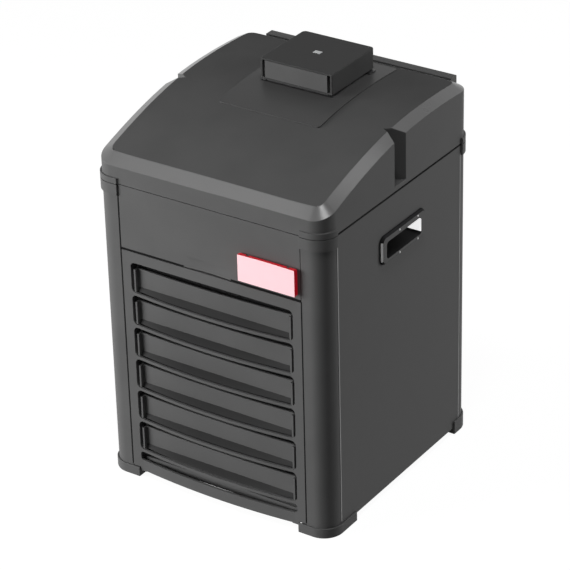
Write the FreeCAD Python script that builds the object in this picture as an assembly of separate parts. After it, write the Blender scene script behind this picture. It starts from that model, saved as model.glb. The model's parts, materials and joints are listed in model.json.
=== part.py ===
"""Aquarium cooling unit: a tower-shaped water chiller with a louvred front.

Frame: X to the right seen from the front, Y to the back, Z up, millimetres.
The origin lies on the floor under the middle of the whole unit's box.
"""
import FreeCAD, Part
import math
import os
from FreeCAD import Vector

# Cabinet
body_width = 300.0
body_depth = 300.0
corner_radius = 22.0
panel_bottom = 8.0
seam_height = 372.0
sheet = 2.5
fit_gap = 0.4
seam_gap = 0.6
running_gap = 0.08

# Corner pillars with their feet and collars
pillar_front_leg = 31.5
pillar_side_leg = 22.0
pillar_wall = 3.0
collar_proud = 2.4
collar_height = 13.4
lid_pad_height = 7.0
foot_proud = 2.2
foot_collar = 4.0
foot_rear_collar = 9.0
foot_front_leg = 41.2
foot_side_leg = 52.0
foot_rear_side_leg = 35.0
foot_slab_width = 16.0

# Front intake grille: a frame, bowed lips between its cells and a dished vane in each cell
control_height = 80.0
grille_seam = 1.4
grille_sheet = 3.0
grille_rim = 10.0
cell_head = 13.0
cell_side = 11.1
cell_count = 7
cell_corner = 6.0
last_cell_height = 11.4
rail_rise = 1.0
rail_height = 13.8
lip_height = 3.4
lip_sheet = 2.5
lip_bow = 6.0
lip_root = 4.0
vane_side_gap = 3.3
vane_sheet = 2.2
vane_depth = 6.0
vane_rim_depth = 1.0
vane_head = 9.0
vane_face = 23.0
vane_ramp = 4.9
vane_top_bow = 3.0
vane_lip_gap = 1.5
vane_rib = 2.5
vane_rib_height = 8.0
wall_sheet = 2.5

# Grille hinge at the foot, and the dust filter behind the vanes
hinge_back = 8.0
hinge_height = 15.0
trunnion_radius = 2.5
trunnion_length = 4.2
hinge_ear_radius = 4.2
filter_sheet = 3.0
filter_gap = 0.3
filter_bottom = 30.0

# Upper front panel with its display window and flap
flap_side_margin = 3.4
flap_width = 72.4
flap_rise = 7.6
flap_height = 31.4
flap_proud = 6.5
flap_wall = 1.8
flap_gap = 0.4
flap_pin_drop = 2.6
flap_pin_radius = 1.0
flap_ear = 3.0
flap_ear_radius = 1.9
flap_ear_inset = 9.0
window_margin = 6.0
window_bottom_margin = 3.0
scoop_half_width = 31.0
scoop_height = 14.0
scoop_depth = 1.6

# Controller behind the window
screen_width = 27.0
screen_height = 15.0
screen_sheet = 1.5
screen_margin = 2.0
key_width = 8.0
key_height = 6.0
key_space = 1.5
key_proud = 2.4
key_root = 2.0
key_travel = 1.0
key_gap = 0.3
key_edge = 0.6
controller_depth = 46.0

# Lid
lid_front_height = 27.5
lid_wall = 3.0
chamfer_drop = 7.0
chamfer_run = 13.0
lid_quarter_rise = 24.2
lid_middle_rise = 39.2
lid_three_quarter_rise = 43.3
lid_rear_rise = 40.0
notch_front = 138.0
notch_rear = 161.0
notch_apex = 148.0
notch_depth = 20.0
notch_floor_rise = 5.5
plate_half_width = 66.0
plate_front = 120.0
plate_rear_margin = 6.0
plate_sheet = 1.5
plate_corner = 4.0
adhesive = 0.1

# Control module on the lid
module_width = 94.0
module_rear_gap = 36.0
module_length = 88.0
module_height = 24.5
module_wall = 2.0
module_corner = 5.0
bracket_height = 5.0
bracket_inset = 3.0
bracket_ear = 3.0
bracket_ear_width = 8.0
bracket_ear_drop = 1.0
module_face_inset = 3.0
module_face_sheet = 2.6
module_face_proud = 0.4
lens_width = 9.0
lens_length = 6.0
lens_proud = 0.6

# Carrying handles in the side panels
handle_front = 106.0
handle_length = 91.0
handle_drop = 77.0
handle_height = 35.0
handle_corner = 8.0
handle_proud = 3.8
handle_bevel = 2.2
grip_margin = 9.5
grip_bottom_margin = 6.2
grip_height = 20.3
grip_corner = 4.0
cup_depth = 30.0
cup_wall = 2.4

# Rear cover, its slots and screws
rear_cover_depth = 16.0
rear_cover_inset = 26.0
rear_cover_drop = 3.5
rear_cover_corner = 8.0
rear_slot_count = 12
rear_slot_pitch = 18.0
rear_slot_height = 9.0
rear_slot_inset = 26.0
rear_slot_drop = 25.0
hood_depth = 9.0
hood_rise = 5.0
hood_sheet = 1.5
screw_radius = 4.0
screw_height = 1.8
screw_inset = 14.0
screw_end = 14.0

# Water ports with swivelling elbows, and the appliance inlet
port_low = 70.0
port_high = 150.0
port_bore = 6.0
spigot_radius = 8.0
port_wall = 3.0
port_flange_radius = 17.0
port_flange = 3.0
spigot_length = 14.0
elbow_gap = 0.3
elbow_collar_radius = 14.0
elbow_collar = 8.0
elbow_turn = 16.0
elbow_radius = 9.0
barb_radius = 10.0
barb_length = 5.0
barb_step = 8.0
barb_count = 3
tail_length = 30.0
inlet_inset = 70.0
inlet_height = 60.0
inlet_width = 28.0
inlet_tall = 21.0
inlet_border = 5.0
inlet_flange = 3.0
inlet_depth = 26.0
inlet_wall = 2.0
blade_sheet = 2.0
blade_inset = 5.0
blade_tall = 4.0
blade_space = 7.0
blade_drop = 2.0
blade_lift = 3.0

# Base tray and condenser
tray_sheet = 2.0
tray_rim = 14.0
tray_front = 22.0
condenser_front = 26.0
condenser_depth = 22.0
condenser_side_gap = 22.1
condenser_rise = 26.0
condenser_top_gap = 28.0
fin_count = 25
fin_sheet = 0.8
fin_inset = 1.0
frame_sheet = 2.0
bend_radius = 9.0
bend_tube = 3.5
bend_count = 5
bend_flats = 6

# Fan
shroud_gap = 0.3
shroud_overhang = 8.0
fan_margin = 6.0
fan_tip_gap = 5.0
fan_duct = 16.0
fan_blades = 5
blade_pitch = 28.0
blade_chord = 48.0
blade_camber = 5.0
blade_thickness = 2.0
fan_hub_radius = 24.0
fan_hub_length = 20.0
fan_hub_start = 1.0
fan_hub_face = 3.0
fan_shaft_radius = 4.0
motor_gap = 3.0
motor_radius = 30.0
motor_length = 42.0
motor_edge = 4.0
motor_boss = 4.0
clamp_margin = 12.0
spoke_count = 4
spoke_width = 9.0
spoke_sheet = 3.75

# Compressor on its grommets
unit_rear_gap = 28.0
compressor_side_gap = 26.0
compressor_radius = 52.0
compressor_top = 168.0
dome_height = 30.0
dome_flat = 20.0
dome_base = 14.0
foot_plate_sheet = 2.5
grommet_height = 14.0
grommet_radius = 9.0
terminal_half_width = 17.0
terminal_depth = 16.0
terminal_bottom = 60.0
terminal_height = 44.0
terminal_corner = 5.0
terminal_gap = 0.3

# Heat exchanger vessel
vessel_side_gap = 30.0
vessel_radius = 48.0
vessel_drop = 42.0
cap_height = 10.0
cap_proud = 3.0
cap_edge = 4.0
pipe_root = 10.0

# Refrigerant line
refrigerant_tube = 3.2
suction_tube = 4.2
capillary_tube = 1.6
pipe_bend = 16.0
tight_bend = 8.0
drier_x = -20.0
drier_back = 10.0
drier_radius = 11.0
drier_neck = 4.2
drier_length = 100.0
drier_rise = 26.0
liquid_rise = 14.0
discharge_rise = 20.0
discharge_offset = 18.0
discharge_root = 20.0
suction_rise = 54.0
suction_offset = 12.0
suction_back = 34.0
suction_root = 40.0
capillary_root = 5.0

# Electrics box
box_side_margin = 8.1
box_right = -12.0
box_bottom_gap = 2.8
box_top_gap = 11.4
box_depth = 46.0
box_corner = 3.0

# Planes that everything is placed from
spigot_reach = port_flange + elbow_gap + elbow_collar
elbow_reach = spigot_reach + elbow_turn + barb_radius
front_reach = max(lip_bow, flap_proud, foot_proud)
total_depth = front_reach + body_depth + rear_cover_depth + elbow_reach
front_y = front_reach - total_depth / 2
rear_y = front_y + body_depth
cover_face = rear_y + rear_cover_depth
half_width = body_width / 2
panel_edge = half_width - pillar_front_leg - fit_gap
panel_top = seam_height - seam_gap
grille_top = seam_height - control_height
grille_foot_top = panel_bottom + foot_collar + fit_gap
tray_floor = panel_bottom + tray_sheet
rear_cover_half_width = half_width - rear_cover_inset
lid_front = seam_height + lid_front_height
lid_crown = lid_front + lid_rear_rise
unit_y = rear_y - unit_rear_gap - compressor_radius
SLIVER = 0.01
UP = Vector(0, 0, 1)
BACK = Vector(0, 1, 0)
RIGHT = Vector(1, 0, 0)
ORIGIN = Vector(0, 0, 0)
nodes = {}


def block(x0, x1, y0, y1, z0, z1):
    return Part.makeBox(x1 - x0, y1 - y0, z1 - z0, Vector(x0, y0, z0))


def wide_block(half, y0, y1, z0, z1):
    """A block centred on the middle plane of the unit."""
    return block(-half, half, y0, y1, z0, z1)


def side_block(side, near, far, y0, y1, z0, z1):
    """A block on the left (-1) or right (1), between two distances from the middle plane."""
    x0, x1 = sorted((side * near, side * far))
    return block(x0, x1, y0, y1, z0, z1)


def edges_along(solid, axis):
    return [e for e in solid.Edges if abs(e.tangentAt(e.FirstParameter).dot(axis)) > 1 - SLIVER]


def rounded_block(x0, x1, y0, y1, z0, z1, radius, axis):
    solid = block(x0, x1, y0, y1, z0, z1)
    return solid.makeFillet(radius, edges_along(solid, axis))


def rod(radius, start, end):
    way = end - start
    return Part.makeCylinder(radius, way.Length, start, way)


def mirrored(solid):
    return solid.mirror(ORIGIN, RIGHT)


def fuse(solids):
    return solids[0].multiFuse(solids[1:]).removeSplitter()


def cut(solid, tools):
    for tool in tools:
        solid = solid.cut(tool)
    return solid


def whole(shape):
    """The single solid of a boolean result."""
    return max(shape.Solids, key=lambda s: s.Volume)


def turned(profile, place, axis):
    """A solid turned from (radius, height) points about an axis through place."""
    points = [Vector(r, 0, h) for r, h in profile]
    face = Part.Face(Part.makePolygon(points + points[:1]))
    solid = face.revolve(ORIGIN, UP, 360)
    solid.Placement = FreeCAD.Placement(place, FreeCAD.Rotation(UP, axis))
    return solid


def prism(points, way):
    """A solid pushed out from a flat outline."""
    return Part.Face(Part.makePolygon(points + points[:1])).extrude(way)


def tube(points, radius, bend):
    """A round tube along straight runs joined by tangent arcs of one radius."""
    edges = []
    start = points[0]
    for before, corner, after in zip(points, points[1:], points[2:]):
        way_in = (corner - before).normalize()
        way_out = (after - corner).normalize()
        half_turn = way_in.getAngle(way_out) / 2
        run = bend * math.tan(half_turn)
        first = corner - way_in * run
        last = corner + way_out * run
        inward = (way_out - way_in).normalize()
        middle = corner + inward * (bend / math.cos(half_turn) - bend)
        edges.append(Part.makeLine(start, first))
        edges.append(Part.Arc(first, middle, last).toShape())
        start = last
    edges.append(Part.makeLine(start, points[-1]))
    way = points[1] - points[0]
    ring = Part.Wire([Part.makeCircle(radius, points[0], way)])
    return Part.Wire(edges).makePipeShell([ring], True, False)


def footprint(offset, z0, z1):
    """The cabinet's rounded plan, grown outwards by the offset."""
    half = half_width + offset
    return rounded_block(-half, half, front_y - offset, rear_y + offset, z0, z1,
                         corner_radius + offset, UP)


def corner_box(side, end, leg_x, leg_y, z0, z1):
    """The region of one cabinet corner: side is -1 left or 1 right, end 0 front or 1 rear."""
    outside = 2 * collar_proud
    y0 = front_y - outside
    y1 = front_y + leg_y
    if end:
        y0 = rear_y - leg_y
        y1 = rear_y + outside
    return side_block(side, half_width - leg_x, half_width + outside, y0, y1, z0, z1)


def corner_ring(side, end, leg_x, leg_y, outer, inner, z0, z1):
    ring = footprint(outer, z0, z1).cut(footprint(inner, z0, z1))
    return ring.common(corner_box(side, end, leg_x, leg_y, z0, z1))


corners = {"front_left": (-1, 0), "front_right": (1, 0), "rear_left": (-1, 1), "rear_right": (1, 1)}


def collar_leg(end):
    """How far a proud collar runs along the front or rear: at the rear it stops at the cover."""
    return half_width - rear_cover_half_width - fit_gap if end else pillar_front_leg


def make_pillar(side, end):
    """One moulded corner pillar with the proud collar at its top."""
    collar_bottom = panel_top - collar_height
    shaft = corner_ring(side, end, pillar_front_leg, pillar_side_leg, 0, -pillar_wall,
                        panel_bottom, collar_bottom)
    collar = corner_ring(side, end, collar_leg(end), pillar_side_leg, collar_proud, -pillar_wall,
                         collar_bottom, panel_top)
    return whole(fuse([shaft, collar]))


def make_foot(side, end):
    """One L-shaped foot: a slab under the cabinet and a collar round its corner."""
    side_leg = foot_rear_side_leg if end else foot_side_leg
    rise = foot_rear_collar if end else foot_collar
    slab = corner_ring(side, end, foot_front_leg, side_leg, foot_proud, -foot_slab_width, 0,
                       panel_bottom)
    collar = corner_ring(side, end, foot_front_leg, side_leg, foot_proud, 0, panel_bottom,
                         panel_bottom + rise)
    return whole(fuse([slab, collar]))


for name, (side, end) in corners.items():
    nodes[name + "_pillar"] = make_pillar(side, end)
    nodes[name + "_foot"] = make_foot(side, end)


# Carrying handles and the side panels that hold them
handle_y0 = front_y + handle_front
handle_y1 = handle_y0 + handle_length
handle_z0 = seam_height - handle_drop
grip_z0 = handle_z0 + grip_bottom_margin
grip_z1 = grip_z0 + grip_height
cup_back = half_width - cup_depth


def grip_block(x0, x1, grow):
    """The rounded space of the grip, grown all round."""
    return rounded_block(x0, x1, handle_y0 + grip_margin - grow, handle_y1 - grip_margin + grow,
                         grip_z0 - grow, grip_z1 + grow, grip_corner + grow, RIGHT)


def make_handle():
    """Right carrying handle: a raised bezel round a cup that fingers reach into."""
    face = half_width + handle_proud
    bezel = rounded_block(half_width, face, handle_y0, handle_y1, handle_z0,
                          handle_z0 + handle_height, handle_corner, RIGHT)
    rim = [e for e in bezel.Edges if e.BoundBox.XMin > face - SLIVER]
    bezel = bezel.makeChamfer(handle_bevel, rim)
    cup = grip_block(cup_back - cup_wall, half_width, cup_wall)
    hollow = grip_block(cup_back, face + handle_proud, 0)
    return whole(fuse([bezel, cup]).cut(hollow))


def make_side_panel():
    """Right side panel: a sheet folded over at its top, with the handle's hole."""
    y0 = front_y + pillar_side_leg + fit_gap
    y1 = rear_y - pillar_side_leg - fit_gap
    wall = block(half_width - sheet, half_width, y0, y1, panel_bottom, panel_top)
    fold = block(half_width - tray_rim, half_width, y0, y1, panel_top - sheet, panel_top)
    hole = grip_block(half_width - 2 * sheet, half_width + sheet, cup_wall + fit_gap)
    return whole(fuse([wall, fold]).cut(hole))


nodes["right_handle"] = make_handle()
nodes["left_handle"] = mirrored(nodes["right_handle"])
nodes["right_side_panel"] = make_side_panel()
nodes["left_side_panel"] = mirrored(nodes["right_side_panel"])


# Intake grille, hinged at its foot
cell_half = panel_edge - cell_side
lip_half = cell_half - lip_root
vane_half = cell_half - vane_side_gap - vane_sheet
cell_top = grille_top - cell_head
rail_top = panel_bottom + rail_rise + rail_height
cell_pitch = (cell_top - rail_top - last_cell_height) / (cell_count - 1)
cell_tops = [cell_top - cell_pitch * i for i in range(cell_count)]
vane_y = front_y + vane_depth
vane_back = vane_y + vane_sheet
filter_y = vane_back + vane_rib + filter_gap
wall_back = filter_y + filter_sheet + filter_gap
hinge_y = front_y + hinge_back


def bowed_outline(half, y, bow, thickness, z):
    """A level outline between two arcs that bow out towards the front."""
    front_arc = Part.Arc(Vector(-half, y, z), Vector(0, y - bow, z), Vector(half, y, z))
    back = y + thickness
    back_arc = Part.Arc(Vector(half, back, z), Vector(0, back - bow, z), Vector(-half, back, z))
    right = Part.makeLine(Vector(half, y, z), Vector(half, back, z))
    left = Part.makeLine(Vector(-half, back, z), Vector(-half, y, z))
    return Part.Wire([front_arc.toShape(), right, back_arc.toShape(), left])


def bowed_strip(half, bow, thickness, z0, z1):
    """A level strip that bows out of the front plane between two flat ends."""
    return Part.Face(bowed_outline(half, front_y, bow, thickness, z0)).extrude(UP * (z1 - z0))


def cell_window(top, low):
    """One cell's opening in the frame, rounded at its corners."""
    return rounded_block(-cell_half, cell_half, front_y - grille_sheet, front_y + 2 * grille_sheet,
                         low, top, min(cell_corner, (top - low) / 3), BACK)


def make_vane(top):
    """A dished vane: an upright face that turns into a ramp down to the bowed lip."""
    high = top - vane_head
    fold = high - vane_face
    toe = fold - vane_ramp
    toe_y = front_y + lip_sheet + vane_lip_gap
    nearly_flat = SLIVER
    outlines = [bowed_outline(vane_half, toe_y, lip_bow, vane_sheet, toe),
                bowed_outline(vane_half, vane_y, nearly_flat, vane_sheet, fold),
                bowed_outline(vane_half, vane_y, vane_top_bow, vane_sheet, high)]
    solids = [Part.makeLoft(outlines, True, True)]
    for side in (-1, 1):
        solids.append(side_block(side, vane_half, vane_half + vane_sheet, front_y + vane_rim_depth,
                                 vane_back, toe, high))
    solids.append(wide_block(cell_half + wall_sheet, vane_back, vane_back + vane_rib, fold,
                             fold + vane_rib_height))
    return solids


def make_last_vane(top):
    """The short vane of the bottom cell, which stands behind the bottom rail."""
    return [wide_block(cell_half + wall_sheet, vane_y, vane_back, rail_top - rail_height / 2,
                       top - vane_head)]


def make_grille():
    """Frame, bowed lips, vanes and hinge pins, moulded as one piece."""
    frame = wide_block(panel_edge, front_y, front_y + grille_sheet, panel_bottom, grille_top)
    lows = [below + lip_height for below in cell_tops[1:]] + [rail_top]
    between = wide_block(lip_half - grille_sheet, front_y - grille_sheet, front_y + 2 * grille_sheet,
                         panel_bottom - grille_sheet, cell_tops[1] + lip_height)
    frame = cut(frame, [cell_window(top, low) for top, low in zip(cell_tops, lows)] + [between])
    solids = [frame]
    for top in cell_tops[:-1]:
        solids += make_vane(top)
    solids += make_last_vane(cell_tops[-1])
    for low in lows[:-1]:
        solids.append(bowed_strip(lip_half, lip_bow, lip_sheet, low - lip_height, low))
    solids.append(bowed_strip(lip_half, lip_bow, grille_sheet, panel_bottom + rail_rise, rail_top))
    for side in (-1, 1):
        solids.append(side_block(side, cell_half, cell_half + wall_sheet, front_y, wall_back,
                                 grille_foot_top, cell_top + wall_sheet))
        solids.append(side_block(side, panel_edge - wall_sheet, panel_edge, front_y,
                                 front_y + grille_rim, filter_bottom, grille_top))
        root = Vector(side * cell_half, hinge_y, hinge_height)
        solids.append(rod(trunnion_radius, root, root + RIGHT * side * (wall_sheet + trunnion_length)))
    solids.append(wide_block(cell_half + wall_sheet, front_y, wall_back, cell_top, cell_top + wall_sheet))
    solids.append(wide_block(panel_edge, front_y, front_y + grille_rim, grille_top - wall_sheet,
                             grille_top))
    grille = fuse(solids)
    for side in (-1, 1):
        grille = grille.cut(side_block(side, half_width - foot_front_leg - fit_gap, half_width,
                                       front_y - sheet, front_y + grille_sheet, 0, grille_foot_top))
    return whole(grille)


nodes["intake_grille"] = make_grille()
nodes["dust_filter"] = wide_block(cell_half - filter_gap, filter_y, filter_y + filter_sheet,
                                  filter_bottom, cell_top - filter_gap)


# Base tray with the ears that carry the grille
def make_base_tray():
    half = half_width - sheet - fit_gap
    y0 = front_y + tray_front
    y1 = rear_y - sheet - fit_gap
    rim_top = panel_bottom + tray_rim
    outer = wide_block(half, y0, y1, panel_bottom, rim_top)
    inner = wide_block(half - tray_sheet, y0 + tray_sheet, y1 - tray_sheet, tray_floor, 2 * rim_top)
    tray = outer.cut(inner).common(footprint(-pillar_wall - fit_gap, panel_bottom, rim_top))
    ear_near = cell_half + wall_sheet + fit_gap
    ear_far = ear_near + wall_sheet
    for side in (-1, 1):
        near = Vector(side * ear_near, hinge_y, hinge_height)
        far = Vector(side * ear_far, hinge_y, hinge_height)
        arm = side_block(side, ear_near, ear_far, hinge_y, y0 + tray_sheet, panel_bottom,
                         hinge_height + hinge_ear_radius)
        beyond = RIGHT * side
        tray = tray.multiFuse([rod(hinge_ear_radius, near, far), arm])
        tray = tray.cut(rod(trunnion_radius + running_gap, near - beyond, far + beyond))
    return whole(tray.removeSplitter())


nodes["base_tray"] = make_base_tray()


# Upper front panel, the controller behind it and the flap over its window
flap_right = panel_edge - flap_side_margin
flap_left = flap_right - flap_width
panel_low = grille_top + grille_seam
flap_bottom = panel_low + flap_rise
flap_top = flap_bottom + flap_height
pin_y = front_y - flap_pin_drop
pin_z = flap_top - flap_pin_drop
window_x0 = flap_left + window_margin
window_x1 = flap_right - window_margin
window_z0 = flap_bottom + window_bottom_margin
window_z1 = flap_top - window_margin
window_middle = (window_z0 + window_z1) / 2
ear_places = [flap_left + flap_ear_inset, flap_right - flap_ear_inset - flap_ear]


def make_flap_ear(x):
    """An ear of the front panel with the hole that the flap's pin turns in."""
    ear = rod(flap_ear_radius, Vector(x, pin_y, pin_z), Vector(x + flap_ear, pin_y, pin_z))
    neck = block(x, x + flap_ear, pin_y, front_y, pin_z - flap_ear_radius, pin_z + flap_ear_radius)
    hole = rod(flap_pin_radius + running_gap, Vector(x - flap_ear, pin_y, pin_z),
               Vector(x + 2 * flap_ear, pin_y, pin_z))
    return ear.fuse(neck).cut(hole)


def make_control_panel():
    """Folded front panel with the window and a shallow scoop that frees the grille's top edge."""
    wall = wide_block(panel_edge, front_y, front_y + sheet, panel_low, panel_top)
    top = wide_block(panel_edge, front_y, front_y + tray_rim, panel_top - sheet, panel_top)
    folds = [side_block(side, panel_edge - sheet, panel_edge, front_y, front_y + tray_rim, panel_low,
                        panel_top) for side in (-1, 1)]
    window = block(window_x0, window_x1, front_y - sheet, front_y + 2 * sheet, window_z0, window_z1)
    scoop_radius = (scoop_half_width ** 2 + scoop_depth ** 2) / (2 * scoop_depth)
    scoop = Part.makeCylinder(scoop_radius, scoop_height + grille_seam,
                              Vector(0, front_y + scoop_depth - scoop_radius, grille_top), UP)
    panel = fuse([wall, top] + folds).cut(window).cut(scoop)
    return whole(fuse([panel] + [make_flap_ear(x) for x in ear_places]))


def make_flap():
    """Display flap: a clear shallow cap, open at the back, that turns about a pin at its top."""
    y0 = front_y - flap_proud
    y1 = front_y - flap_gap
    outer = block(flap_left, flap_right, y0, y1, flap_bottom, flap_top)
    top_back = [e for e in edges_along(outer, RIGHT)
                if e.CenterOfMass.y > y1 - SLIVER and e.CenterOfMass.z > flap_top - SLIVER]
    outer = outer.makeFillet(flap_pin_drop - flap_gap, top_back)
    inner = block(flap_left + flap_wall, flap_right - flap_wall, y0 + flap_wall, front_y + flap_wall,
                  flap_bottom + flap_wall, flap_top - flap_wall / 2)
    flap = outer.cut(inner)
    clear = flap_ear_radius + flap_gap
    for x in ear_places:
        flap = flap.cut(block(x - flap_gap, x + flap_ear + flap_gap, pin_y - clear,
                              front_y + flap_wall, pin_z - clear, flap_top + flap_wall))
    pin = rod(flap_pin_radius, Vector(flap_left + flap_wall / 2, pin_y, pin_z),
              Vector(flap_right - flap_wall / 2, pin_y, pin_z))
    return whole(fuse([flap, pin]))


screen_x0 = window_x0 + screen_margin
screen_z0 = window_middle - screen_height / 2
key_z0 = window_middle - key_height / 2
key_step = key_width + key_space
key_places = [window_x1 - screen_margin - key_width - key_step * i for i in (2, 1, 0)]


def make_controller():
    """Controller body: sits behind the window and carries the screen and the keys."""
    back = front_y + controller_depth
    body = block(window_x0 + key_gap, window_x1 - key_gap, front_y, back, window_z0 + key_gap,
                 window_z1 - key_gap)
    flange = block(window_x0 - sheet, window_x1 + sheet, front_y + sheet, front_y + 2 * sheet,
                   window_z0 - sheet, window_z1 + sheet)
    before = front_y - sheet
    recesses = [block(screen_x0, screen_x0 + screen_width, before, front_y + screen_sheet,
                      screen_z0, screen_z0 + screen_height)]
    for x in key_places:
        recesses.append(block(x - key_gap, x + key_width + key_gap, before,
                              front_y + key_travel + key_root + key_gap, key_z0 - key_gap,
                              key_z0 + key_height + key_gap))
    return whole(cut(fuse([body, flange]), recesses))


def make_key(x):
    """One key cap with softened front edges."""
    face = front_y - key_proud
    key = block(x, x + key_width, face, front_y + key_root, key_z0, key_z0 + key_height)
    return key.makeChamfer(key_edge, [e for e in key.Edges if e.BoundBox.YMax < face + SLIVER])


nodes["control_panel"] = make_control_panel()
nodes["display_flap"] = make_flap()
nodes["controller_body"] = make_controller()
nodes["display_screen"] = block(screen_x0, screen_x0 + screen_width, front_y, front_y + screen_sheet,
                                screen_z0, screen_z0 + screen_height)
for name, x in zip(("set_key", "down_key", "up_key"), key_places):
    nodes[name] = make_key(x)


# Lid with its side notches, label plate and control module
lid_curve_rises = [(0.0, 0.0), (0.25, lid_quarter_rise), (0.5, lid_middle_rise),
                   (0.75, lid_three_quarter_rise), (1.0, lid_rear_rise)]


def lid_curve(x, lift):
    """The lid's crown line from front to rear, as one smooth curve."""
    curve = Part.BSplineCurve()
    curve.interpolate([Vector(x, front_y + share * body_depth, lid_front + rise + lift)
                       for share, rise in lid_curve_rises])
    return curve


def under_curve(half, lift, floor):
    """The space below the crown line, between two upright sides."""
    crown = lid_curve(-half, lift)
    front_foot = Vector(-half, front_y, floor)
    rear_foot = Vector(-half, rear_y, floor)
    wire = Part.Wire([Part.makeLine(front_foot, crown.StartPoint), crown.toShape(),
                      Part.makeLine(crown.EndPoint, rear_foot), Part.makeLine(rear_foot, front_foot)])
    return Part.Face(wire).extrude(RIGHT * 2 * half)


def lid_block(inset, floor):
    """The lid's outside, or the hollow inside it when given an inset.

    Its chamfer runs all round the crown, wide on top and low on the sides.
    """
    plan = footprint(-inset, floor, lid_crown + lid_rear_rise)
    solid = whole(under_curve(body_width, -inset, floor).common(plan))
    crown = max(solid.Faces, key=lambda f: f.CenterOfMass.z)
    edge = max(crown.Edges, key=lambda e: e.BoundBox.YLength)
    first = solid.ancestorsOfType(edge, Part.Face)[0]
    sizes = (chamfer_drop, chamfer_run)
    if first.isSame(crown):
        sizes = (chamfer_run, chamfer_drop)
    return solid.makeChamfer(sizes[0], sizes[1], [edge])


def notch(side, grow):
    """A V-shaped upright groove in the lid's side."""
    floor = seam_height + notch_floor_rise - grow
    slope_run = 2 * collar_proud
    outside = half_width + slope_run
    front = front_y + notch_front - 1.5 * grow
    rear = front_y + notch_rear + 1.5 * grow
    outline = [Vector(side * half_width, front, floor), Vector(side * outside, front - slope_run, floor),
               Vector(side * outside, rear + slope_run, floor), Vector(side * half_width, rear, floor),
               Vector(side * (half_width - notch_depth - grow), front_y + notch_apex, floor)]
    return prism(outline, UP * lid_crown)


def make_lid():
    """Lid: one deep moulded shell with pads over the four pillars."""
    outer = lid_block(0, seam_height)
    inner = lid_block(lid_wall, seam_height - lid_wall)
    pads = [corner_ring(side, end, collar_leg(end), pillar_side_leg, collar_proud, 0, seam_height,
                        seam_height + lid_pad_height) for side, end in corners.values()]
    for side in (-1, 1):
        outer = outer.cut(notch(side, 0))
        inner = inner.cut(notch(side, lid_wall))
    return whole(fuse([outer] + pads).cut(inner))


def make_label_plate():
    """A thin blank plate that follows the lid's curve."""
    plate = under_curve(half_width, plate_sheet, seam_height).cut(
        under_curve(body_width, adhesive, seam_height - plate_sheet))
    plan = rounded_block(-plate_half_width, plate_half_width, front_y + plate_front,
                         rear_y - chamfer_run - plate_rear_margin, seam_height,
                         lid_crown + lid_rear_rise, plate_corner, UP)
    return whole(plate.common(plan))


nodes["lid"] = make_lid()
nodes["lid_label_plate"] = make_label_plate()
module_y1 = rear_y - module_rear_gap
module_y0 = module_y1 - module_length
module_z0 = lid_crown + plate_sheet + bracket_height
module_z1 = module_z0 + module_height
module_half = module_width / 2
lens_y0 = (module_y0 + module_y1 - lens_length) / 2
lens_z0 = module_z1 - module_wall / 2


def make_bracket():
    """Foot of the module: its underside follows the plate, with an ear at each side."""
    half = module_half - bracket_inset
    near = module_y0 + bracket_inset
    far = module_y1 - bracket_inset
    solids = [rounded_block(-half, half, near, far, lid_front, module_z0, module_corner, UP)]
    for side, y in ((-1, near), (1, far - bracket_ear_width - module_corner)):
        solids.append(side_block(side, half - module_wall, module_half + bracket_ear, y,
                                 y + bracket_ear_width + module_corner, lid_front,
                                 module_z0 - bracket_ear_drop))
    return whole(fuse(solids).cut(under_curve(body_width, plate_sheet + adhesive, seam_height)))


def make_module_case():
    """Module case: rounded at the rear, hollow, with a recessed face and a seat for the lens."""
    case = wide_block(module_half, module_y0, module_y1, module_z0, module_z1)
    rear_edges = [e for e in edges_along(case, UP) if e.CenterOfMass.y > module_y1 - SLIVER]
    case = case.makeFillet(module_corner, rear_edges)
    low = module_z0 + module_wall
    high = module_z1 - module_wall
    recess = wide_block(module_half - module_face_inset, module_y0 - module_wall,
                        module_y0 + module_face_sheet, low, high)
    hollow = wide_block(module_half - 2 * module_wall, module_y0 + module_face_sheet + module_wall,
                        module_y1 - module_corner, module_z0 - module_wall, high)
    lens_seat = wide_block(lens_width / 2, lens_y0, lens_y0 + lens_length, lens_z0,
                           module_z1 + module_wall)
    return whole(cut(case, [recess, hollow, lens_seat]))


nodes["module_bracket"] = make_bracket()
nodes["module_case"] = make_module_case()
nodes["module_front_plate"] = wide_block(module_half - 2 * module_face_inset,
                                         module_y0 - module_face_proud,
                                         module_y0 + module_face_sheet,
                                         module_z0 + module_wall, module_z1 - module_wall)
nodes["module_status_lens"] = wide_block(lens_width / 2, lens_y0, lens_y0 + lens_length, lens_z0,
                                         module_z1 + lens_proud)


# Rear panel and its louvred cover
port_x = half_width - vessel_side_gap - vessel_radius
inlet_x = inlet_inset - half_width
ports = {"water_inlet": port_low, "water_outlet": port_high}
stub_radius = spigot_radius + port_wall
cover_bottom = panel_bottom + foot_rear_collar + fit_gap
cover_top = lid_crown - rear_cover_drop
slot_half = rear_cover_half_width - rear_slot_inset
slot_bottoms = [cover_top - rear_slot_drop - rear_slot_height - rear_slot_pitch * i
                for i in range(rear_slot_count)]


def inlet_block(y0, y1, grow):
    return block(inlet_x - inlet_width / 2 - grow, inlet_x + inlet_width / 2 + grow, y0, y1,
                 inlet_height - inlet_tall / 2 - grow, inlet_height + inlet_tall / 2 + grow)


def rear_holes(y0, y1):
    """Holes for the two water ports and the appliance inlet."""
    holes = [rod(stub_radius + fit_gap, Vector(port_x, y0, z), Vector(port_x, y1, z))
             for z in ports.values()]
    return holes + [inlet_block(y0, y1, fit_gap)]


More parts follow.
